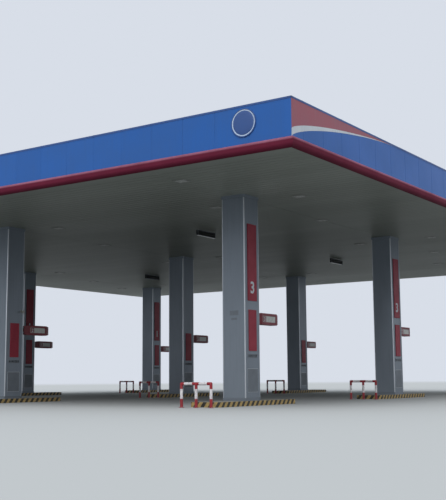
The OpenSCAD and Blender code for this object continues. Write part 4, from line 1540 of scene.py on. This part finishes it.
@dataclass
class ColourFields(Parts):
    """The white and red fields on the side fascias, with the borders that the photo shows."""

    length: float = 6.97  # How far the fields reach from a corner.
    top: float = 1.13  # How far they reach up from the fascia's lower edge.
    turn: float = 1.4  # How early a field's border turns level.
    bend: float = 0.7  # How steeply it rises at the corner, steeper with a lower number.
    steps: int = 24  # The number of steps along it.
    white_low: float = 0.002  # How far above the fascia's lower edge the white field begins at the corner.
    white_high: float = 0.235  # How far above it the white field ends there and the red one begins.
    thickness: float = 0.003  # The thickness of the fields.

    def build(self) -> None:
        """Builds both fields at the four side corners."""
        low, high = self.border(self.white_low), self.border(self.white_high)
        self.build_field("sweep_films", "field_white", "white_sweeps", low + high[-2::-1])
        self.build_field("red_films", "field_red", "red_fields", [*high, (0.0, self.top)])

    def border(self, rise: float) -> list[tuple[float, float]]:
        """Finds the border of a field, from the corner to the field's far end.

        Args:
            rise: How far above the fascia's lower edge it begins.

        Returns:
            Each point's distance from the corner and its height above the fascia's lower edge.
        """
        points = []
        for i in range(self.steps + 1):
            along = (i / self.steps) ** 2
            up = (1 - (1 - along) ** self.turn) ** self.bend
            points.append((along * self.length, rise + (self.top - rise) * up))
        return points

    def build_field(self, name: str, slot: str, node: str, outline: Points) -> None:
        """Builds one field at all corners, in place of the frame's own.

        Args:
            name: The piece's name.
            slot: The slot of its finish.
            node: The frame's node that it stands for.
            outline: The field's points, as border gives them.
        """
        layout = self.layout
        films = Solids(self.shop, name, slot)
        for side, end in product(LANE_SIDES, ENDS):
            films.prism([(end * (layout.half_d - x), layout.panel_z + z) for x, z in outline],
                        self.thickness, layout.fascia_face(side))
        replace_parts(films.finish(), node)


@dataclass
class BadgeParts(Parts):
    """The ring round the badge and the plain film on its dome, both in the coping's blue."""

    ring_w: float = 0.03  # The width of the ring.
    ring_lap: float = 0.018  # How far it laps over the badge's rim.
    ring_out: float = 0.032  # How far it stands out.
    ring_bed: float = 0.02  # How far its lap lies above the fascia.
    ring_play: float = 0.001  # Its play round the badge.
    inner_edge: tuple[float, float] = (0.004, 0.002)  # The width and height of its inner chamfer.
    outer_edge: tuple[float, float] = (0.006, 0.008)  # The width and height of its outer chamfer.
    rim_w: float = 0.05  # The width of the badge's flat rim, round its dome.
    dome_low: float = 0.015  # How far the dome's edge stands out.
    film_reach: float = math.radians(81)  # The angle from the dome's top that the film covers, in radians.
    film_steps: int = 9  # The number of steps from the film's middle to its edge.
    film_t: float = 0.0015  # How far the film's face lies above the dome.
    film_gap: float = 0.0003  # How far its back does.
    round_steps: int = 96  # The number of steps round ring and film.
    # The angle up to which the film's edges are shaded as round, in radians.
    smooth_below: float = math.radians(40)

    def build(self) -> None:
        """Builds the ring and the film."""
        low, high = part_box("blank_badge")
        place = Matrix.Translation(((low.x + high.x) / 2, high.y, (low.z + high.z) / 2)) @ OUTWARD
        r = (high.x - low.x) / 2
        inner = r - self.ring_lap
        outer = inner + self.ring_w
        (inner_w, inner_h), (outer_w, outer_h) = self.inner_edge, self.outer_edge
        ring = Solids(self.shop, "badge_ring", "coping_blue")
        ring.turned([(inner, self.ring_bed), (inner, self.ring_out - inner_h),
                     (inner + inner_w, self.ring_out),
                     (outer - outer_w, self.ring_out), (outer, self.ring_out - outer_h), (outer, 0.0),
                     (r + self.ring_play, 0.0), (r + self.ring_play, self.ring_bed)], place, self.round_steps)
        ring.finish()
        dome_r, dome_h = r - self.rim_w, high.y - low.y - self.dome_low
        angles = [self.film_reach * i / self.film_steps for i in range(self.film_steps + 1)]
        dome = [(dome_r * math.sin(a), self.dome_low + dome_h * math.cos(a)) for a in angles]
        film = Solids(self.shop, "badge_film", "coping_blue")
        film.turned([(x, z + self.film_t) for x, z in dome] + [(x, z + self.film_gap) for x, z in dome[::-1]],
                    place, self.round_steps)
        piece = film.finish()
        piece.data.shade_smooth()
        piece.data.set_sharp_from_angle(angle=self.smooth_below)


@dataclass
class BandParts(Parts):
    """Sleeves over the joints of the bull-nosed edge band, with their rivets."""

    low_r: float = 0.13  # The radius of the band's lower nose.
    top_r: float = 0.08  # The radius of its upper nose.
    sleeve_w: float = 0.09  # The width of a sleeve.
    sleeve_t: float = 0.003  # Its thickness.
    sunk: float = 0.001  # How far its back lies within the band.
    start: float = 0.001  # How far a sleeve begins from the fascia.
    rivet_at: float = 0.3  # How far a rivet lies from a sleeve's middle, as a share of the sleeve's width.
    pitch: float = 3.66  # The distance between sleeves.
    steps: int = 8  # The number of steps of each arc.

    def nose(self, grow: float) -> list[tuple[float, float]]:
        """The section of the band's outside, from the fascia round the nose to the soffit's trim.

        Args:
            grow: How far it lies outside the band's face.

        Returns:
            Points as the distance from the fascia and the height above the soffit.
        """
        layout = self.layout
        out = -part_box("edge_bands_ends")[0].y - layout.half_d
        height = layout.panel_z - layout.soffit_z
        points = [(self.start, height + grow)]
        for middle_z, radius, start in ((height - self.top_r, self.top_r, 90), (self.low_r, self.low_r, 0)):
            for i in range(self.steps + 1):
                angle = math.radians(start - 90 * i / self.steps)
                points.append((out - radius + (radius + grow) * math.cos(angle),
                               middle_z + (radius + grow) * math.sin(angle)))
        return points

    def build(self) -> None:
        """Builds the sleeves and their rivets on all sides."""
        layout = self.layout
        sleeves = Solids(self.shop, "band_sleeves", "band_red")
        outer = self.nose(self.sleeve_t)
        section = outer + self.nose(-self.sunk)[::-1]
        rivets = []
        for side in Side:
            edge = layout.edge(side, layout.soffit_z)
            for x in about_middle(layout.half_l(side), self.pitch):
                sleeves.prism(section, self.sleeve_w, shifted(edge, x - self.sleeve_w / 2) @ LENGTHWISE)
                for pick in (2, self.steps + 1, 2 * self.steps - 2):
                    (x0, z0), (x1, z1) = outer[pick - 1], outer[pick]
                    outward = edge.to_3x3() @ Vector((0, z1 - z0, x1 - x0)).normalized()
                    rivets += [Spot(edge @ Vector((x + end * self.sleeve_w * self.rivet_at, -(x0 + x1) / 2,
                                                   (z0 + z1) / 2)), outward) for end in ENDS]
        sleeves.finish()
        self.shop.set_heads("band_rivets", rivets, RIVET, "band_red", seed=9)


@dataclass
class CopingParts(Parts):
    """Straps over the joints of the coping, with their rivets."""

    pitch: float = 2.44  # The distance between straps.
    clear: float = 0.1  # The share of a pitch that stays clear before a corner.
    strap_w: float = 0.09  # The width of a strap.
    strap_t: float = 0.002  # Its thickness.
    rivet_at: float = 0.3  # How far a rivet lies from a strap's middle, as a share of the strap's width.
    cap_w: float = 0.116  # The width of the coping's top.

    def build(self) -> None:
        """Builds the straps and their rivets on all sides."""
        layout = self.layout
        low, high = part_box("copings_ends")
        leg = high.z - low.z
        lip = -low.y - layout.half_d
        back = lip - self.cap_w
        t = self.strap_t
        section = [(lip, -leg), (lip + t, -leg), (lip + t, t), (back - t, t), (back - t, -leg), (back, -leg),
                   (back, 0), (lip, 0)]
        straps = Solids(self.shop, "coping_straps", "coping_blue")
        rivets = []
        for side in Side:
            edge = layout.edge(side, layout.top_z)
            for x in about_middle(layout.half_l(side), self.pitch, self.clear):
                straps.prism(section, self.strap_w, shifted(edge, x - self.strap_w / 2) @ LENGTHWISE)
                rivets += [Spot(edge @ Vector((x + end * self.strap_w * self.rivet_at, -(back + lip) / 2, t)),
                                Vector((0, 0, 1))) for end in ENDS]
        straps.finish()
        self.shop.set_heads("coping_rivets", rivets, RIVET, "coping_blue", seed=10)


@dataclass
class RoofParts(Parts):
    """Screws of the roof sheets and the ridge cap."""

    fall: float = 0.02  # The fall of the roof.
    rib_pitch: float = 0.5  # The distance between ribs.
    purlins: int = 10  # The number of purlins on each slope.
    first_purlin: float = 0.1  # How far the first purlin lies from the ridge.
    purlin_half: float = 0.035  # Half the width of a purlin's flange.
    cap_lap: float = 0.05  # How far the screws stay from the ridge cap's edge, on both sides of it.

    def build(self) -> None:
        """Builds the screws of both slopes."""
        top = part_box("roof_deck_right")[1]
        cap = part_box("ridge_cap")[1]
        step = (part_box("purlins")[1].x - self.purlin_half - self.first_purlin) / (self.purlins - 1)
        lines = [self.first_purlin + j * step for j in range(self.purlins)]
        cap_x = cap.x - self.cap_lap
        screws, ridge = [], []
        for end in ENDS:
            outward = Vector((end * self.fall, 0, 1)).normalized()
            for y in about_middle(top.y, self.rib_pitch):
                screws += [Spot(Vector((end * x, y, top.z - x * self.fall)), outward)
                           for x in lines if x > cap.x + self.cap_lap]
                ridge.append(Spot(Vector((end * cap_x, y, cap.z - cap_x * self.fall)), outward))
        self.shop.set_heads("roof_screws", screws, ROOF_SCREW, "roof_sheet", seed=11)
        self.shop.set_heads("ridge_screws", ridge, ROOF_SCREW, "roof_sheet", seed=12)


@dataclass
class GutterParts(Parts):
    """Straps across the gutters and leaf guards in them."""

    lap: float = 0.05  # How far the roof sheets reach over a gutter's inner edge.
    strap_pitch: float = 1.1  # The distance between gutter straps.
    strap_half: float = 0.015  # Half the width of a strap.
    strap_t: float = 0.004  # Its thickness.
    floor_t: float = 0.006  # The thickness of a gutter's floor.
    leaf_r: float = 0.1  # The radius of a leaf guard.
    leaf_h: float = 0.13  # Its height.
    leaf_rods: int = 6  # The number of its bent rods.
    leaf_back: float = 0.6  # How far it lies behind a column line.
    rod_d: float = 0.008  # The diameter of its rods.
    ring_steps: int = 16  # The number of steps round its foot ring.
    rod_steps: int = 12  # The number of steps along a bent rod.

    def build(self) -> None:
        """Builds the straps and the leaf guards."""
        low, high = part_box("gutters")
        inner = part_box("roof_deck_right")[1].x - self.lap
        straps = Solids(self.shop, "gutter_straps", "galvanised")
        for end in ENDS:
            x0, x1 = sorted((end * inner, end * high.x))
            for y in about_middle(high.y, self.strap_pitch):
                straps.box((x0, y - self.strap_half, high.z),
                           (x1, y + self.strap_half, high.z + self.strap_t))
        straps.finish(bevel=FINE_EDGE)
        middle = (inner + high.x) / 2
        foot_z = low.z + self.floor_t + self.rod_d / 2
        rods = [rod for x, y in product((-middle, middle), self.layout.lines)
                for rod in self.leaf_guard(Vector((x, y + self.leaf_back, foot_z)))]
        self.shop.lay_beads("leaf_guards", rods, self.rod_d, "galvanised", sides=6)

    def leaf_guard(self, foot: Vector) -> list[list[Vector]]:
        """Finds the rods of a leaf guard: a ring with bent rods over it.

        Args:
            foot: The middle of the ring.

        Returns:
            The points along each rod.
        """
        turns = [2 * math.pi * i / self.ring_steps for i in range(self.ring_steps + 1)]
        rods = [[foot + self.leaf_r * Vector((math.cos(a), math.sin(a), 0)) for a in turns]]
        for i in range(self.leaf_rods):
            turn = math.pi * i / self.leaf_rods
            along = self.leaf_r * Vector((math.cos(turn), math.sin(turn), 0))
            bends = [math.pi * j / self.rod_steps for j in range(self.rod_steps + 1)]
            rods.append([foot + math.cos(a) * along + Vector((0, 0, self.leaf_h * math.sin(a)))
                         for a in bends])
        return rods


@dataclass
class PhotoCamera:
    """The camera, solved from the fascia's edges and the heads of five columns in the photograph."""

    place: tuple[float, float, float] = (30.28, -40.21, 0.95)  # Where it stands.
    heading: float = 0.6003  # Its turn from +Y towards -X, in radians.
    tilt: float = 0.1366  # Its tilt upwards, in radians.
    roll: float = -0.0072  # Its roll, in radians.
    lens: float = 67.24  # The focal length for a picture as high as the sensor, in millimetres.
    sensor: float = 36.0  # The size of the sensor, in millimetres.
    sight: float = 1000.0  # How far it sees.

    def build(self) -> None:
        """Makes the camera and gives it to the scene."""
        data = bpy.data.cameras.new("photo_camera")
        data.lens = self.lens
        data.sensor_width = self.sensor
        data.clip_end = self.sight
        camera = bpy.data.objects.new("photo_camera", data)
        turn = (Matrix.Rotation(self.heading, 4, "Z") @ Matrix.Rotation(math.pi / 2 + self.tilt, 4, "X")
                @ Matrix.Rotation(self.roll, 4, "Z"))
        camera.matrix_world = Matrix.Translation(self.place) @ turn
        bpy.context.scene.collection.objects.link(camera)
        bpy.context.scene.camera = camera


@dataclass
class Studio:
    """The plain floor, the pale backdrop and soft light, brighter from above and from the front."""

    floor_r: float = 220.0  # The radius of the floor.
    floor_steps: int = 96  # The number of steps round it.
    fade_from: float = 80.0  # How far from the middle the floor begins to fade into the backdrop.
    fade_to: float = 200.0  # How far from the middle it is one with it.
    roof_from: float = 12.0  # How far from the middle the painted shade on the floor below the roof begins to end.
    roof_to: float = 26.0  # How far from the middle it has ended.
    floor_seen: str = "b4b6b6"  # The colour that the camera sees.
    floor_felt: str = "868888"  # The darker colour that lights the underside of the roof.
    floor_under: str = "3c3d3d"  # The same below the roof, darker still: painted shade under the canopy, in the light that the floor casts up.
    backdrop: str = "d8dee8"  # The colour behind the canopy.
    sky_tint: str = "e4ebf2"  # The colour of the light from the sky.
    sky_light: float = 1.3  # The strength of the light from straight above.
    horizon_light: float = 0.34  # The strength of the light from the horizon, all round.
    key_light: float = 2.0  # The strength of the soft lamp before the front.
    key_angle: float = 70.0  # The angle that the lamp fills, in degrees.
    key_from: tuple[float, float, float] = (0.34, -0.66, 0.68)  # The direction from which it shines.

    def build(self) -> None:
        """Makes the world, the lamp and the floor."""
        bpy.context.scene.view_settings.view_transform = "Standard"
        self.build_world()
        lamp = bpy.data.lights.new("key", "SUN")
        lamp.energy = self.key_light
        lamp.angle = math.radians(self.key_angle)
        key = bpy.data.objects.new("key", lamp)
        key.matrix_world = Vector(self.key_from).to_track_quat("Z", "Y").to_matrix().to_4x4()
        bpy.context.scene.collection.objects.link(key)
        mesh = bpy.data.meshes.new("floor")
        shape = bmesh.new()
        bmesh.ops.create_circle(shape, cap_ends=True, segments=self.floor_steps, radius=self.floor_r)
        shape.to_mesh(mesh)
        shape.free()
        floor = bpy.data.objects.new("floor", mesh)
        floor.data.materials.append(self.floor_material())
        bpy.context.scene.collection.objects.link(floor)

    @staticmethod
    def seen(tree: Tree) -> Socket:
        """Tells rays that see a surface from rays that only carry light from it.

        Args:
            tree: A node tree of a material or the world.

        Returns:
            1 for camera, glossy and transmission rays, else 0.
        """
        path = add_node(tree, "ShaderNodeLightPath")
        mirrored = add_node(tree, "ShaderNodeMath", {
            0: path.outputs["Is Glossy Ray"], 1: path.outputs["Is Transmission Ray"]}, operation="MAXIMUM")
        return add_node(tree, "ShaderNodeMath", {
            0: path.outputs["Is Camera Ray"], 1: mirrored.outputs["Value"]},
            operation="MAXIMUM").outputs["Value"]

    def build_world(self) -> None:
        """Makes the world: its own colour where it is seen, soft light elsewhere."""
        world = bpy.data.worlds.new("sky")
        world.use_nodes = True
        tree = world.node_tree
        tree.nodes.clear()
        way = add_node(tree, "ShaderNodeSeparateXYZ", {
            "Vector": add_node(tree, "ShaderNodeTexCoord").outputs["Generated"]})
        strength = add_node(tree, "ShaderNodeMapRange", {
            "Value": way.outputs["Z"], "To Min": self.horizon_light, "To Max": self.sky_light})
        light = add_node(tree, "ShaderNodeBackground", {
            "Color": linear(self.sky_tint), "Strength": strength.outputs["Result"]})
        shown = add_node(tree, "ShaderNodeBackground", {"Color": linear(self.backdrop), "Strength": 1.0})
        mixed = add_node(tree, "ShaderNodeMixShader", {
            "Fac": self.seen(tree), 1: light.outputs["Background"], 2: shown.outputs["Background"]})
        add_node(tree, "ShaderNodeOutputWorld", {"Surface": mixed.outputs["Shader"]})
        bpy.context.scene.world = world

    def floor_material(self) -> bpy.types.Material:
        """Makes the floor's plain material, which fades into the backdrop far away; the light that it casts
        up has painted shade below the roof.

        Returns:
            The material.
        """
        material = bpy.data.materials.new("plain_floor")
        material.use_nodes = True
        tree = material.node_tree
        tree.nodes.clear()
        place = add_node(tree, "ShaderNodeTexCoord").outputs["Object"]
        away = add_node(tree, "ShaderNodeVectorMath", {0: place}, operation="LENGTH")
        fade = add_node(tree, "ShaderNodeMapRange", {
            "Value": away.outputs["Value"], "From Min": self.fade_from, "From Max": self.fade_to},
            interpolation_type="SMOOTHSTEP")
        # Painted shade: the colour that lights the roof from below darkens under the canopy.
        out = add_node(tree, "ShaderNodeMapRange", {
            "Value": away.outputs["Value"], "From Min": self.roof_from, "From Max": self.roof_to})
        felt = add_node(tree, "ShaderNodeMix", {
            "Factor": out.outputs["Result"], "A": linear(self.floor_under), "B": linear(self.floor_felt)},
            data_type="RGBA")
        colour = add_node(tree, "ShaderNodeMix", {
            "Factor": self.seen(tree), "A": felt.outputs["Result"], "B": linear(self.floor_seen)},
            data_type="RGBA")
        matt = add_node(tree, "ShaderNodeBsdfDiffuse", {"Color": colour.outputs["Result"]})
        glow = add_node(tree, "ShaderNodeEmission", {"Color": linear(self.backdrop)})
        surface = add_node(tree, "ShaderNodeMixShader", {
            "Fac": fade.outputs["Result"], 1: matt.outputs["BSDF"], 2: glow.outputs["Emission"]})
        add_node(tree, "ShaderNodeOutputMaterial", {"Surface": surface.outputs["Shader"]})
        return material


def main() -> None:
    """Builds the camera, the studio, the finishes and the parts."""
    logging.basicConfig(level=logging.INFO, format="%(message)s", stream=sys.stdout)
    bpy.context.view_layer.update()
    PhotoCamera().build()
    Studio().build()
    shop = Shop(Layout(), Paints())
    for part in (IslandParts, ColumnParts, BoardParts, HatchParts, NumberBoxParts, SmallParts, SoffitParts,
                 FasciaParts, ColourFields, BadgeParts, BandParts, CopingParts, RoofParts, GutterParts):
        part(shop).build()


if __name__ == "__main__":
    main()
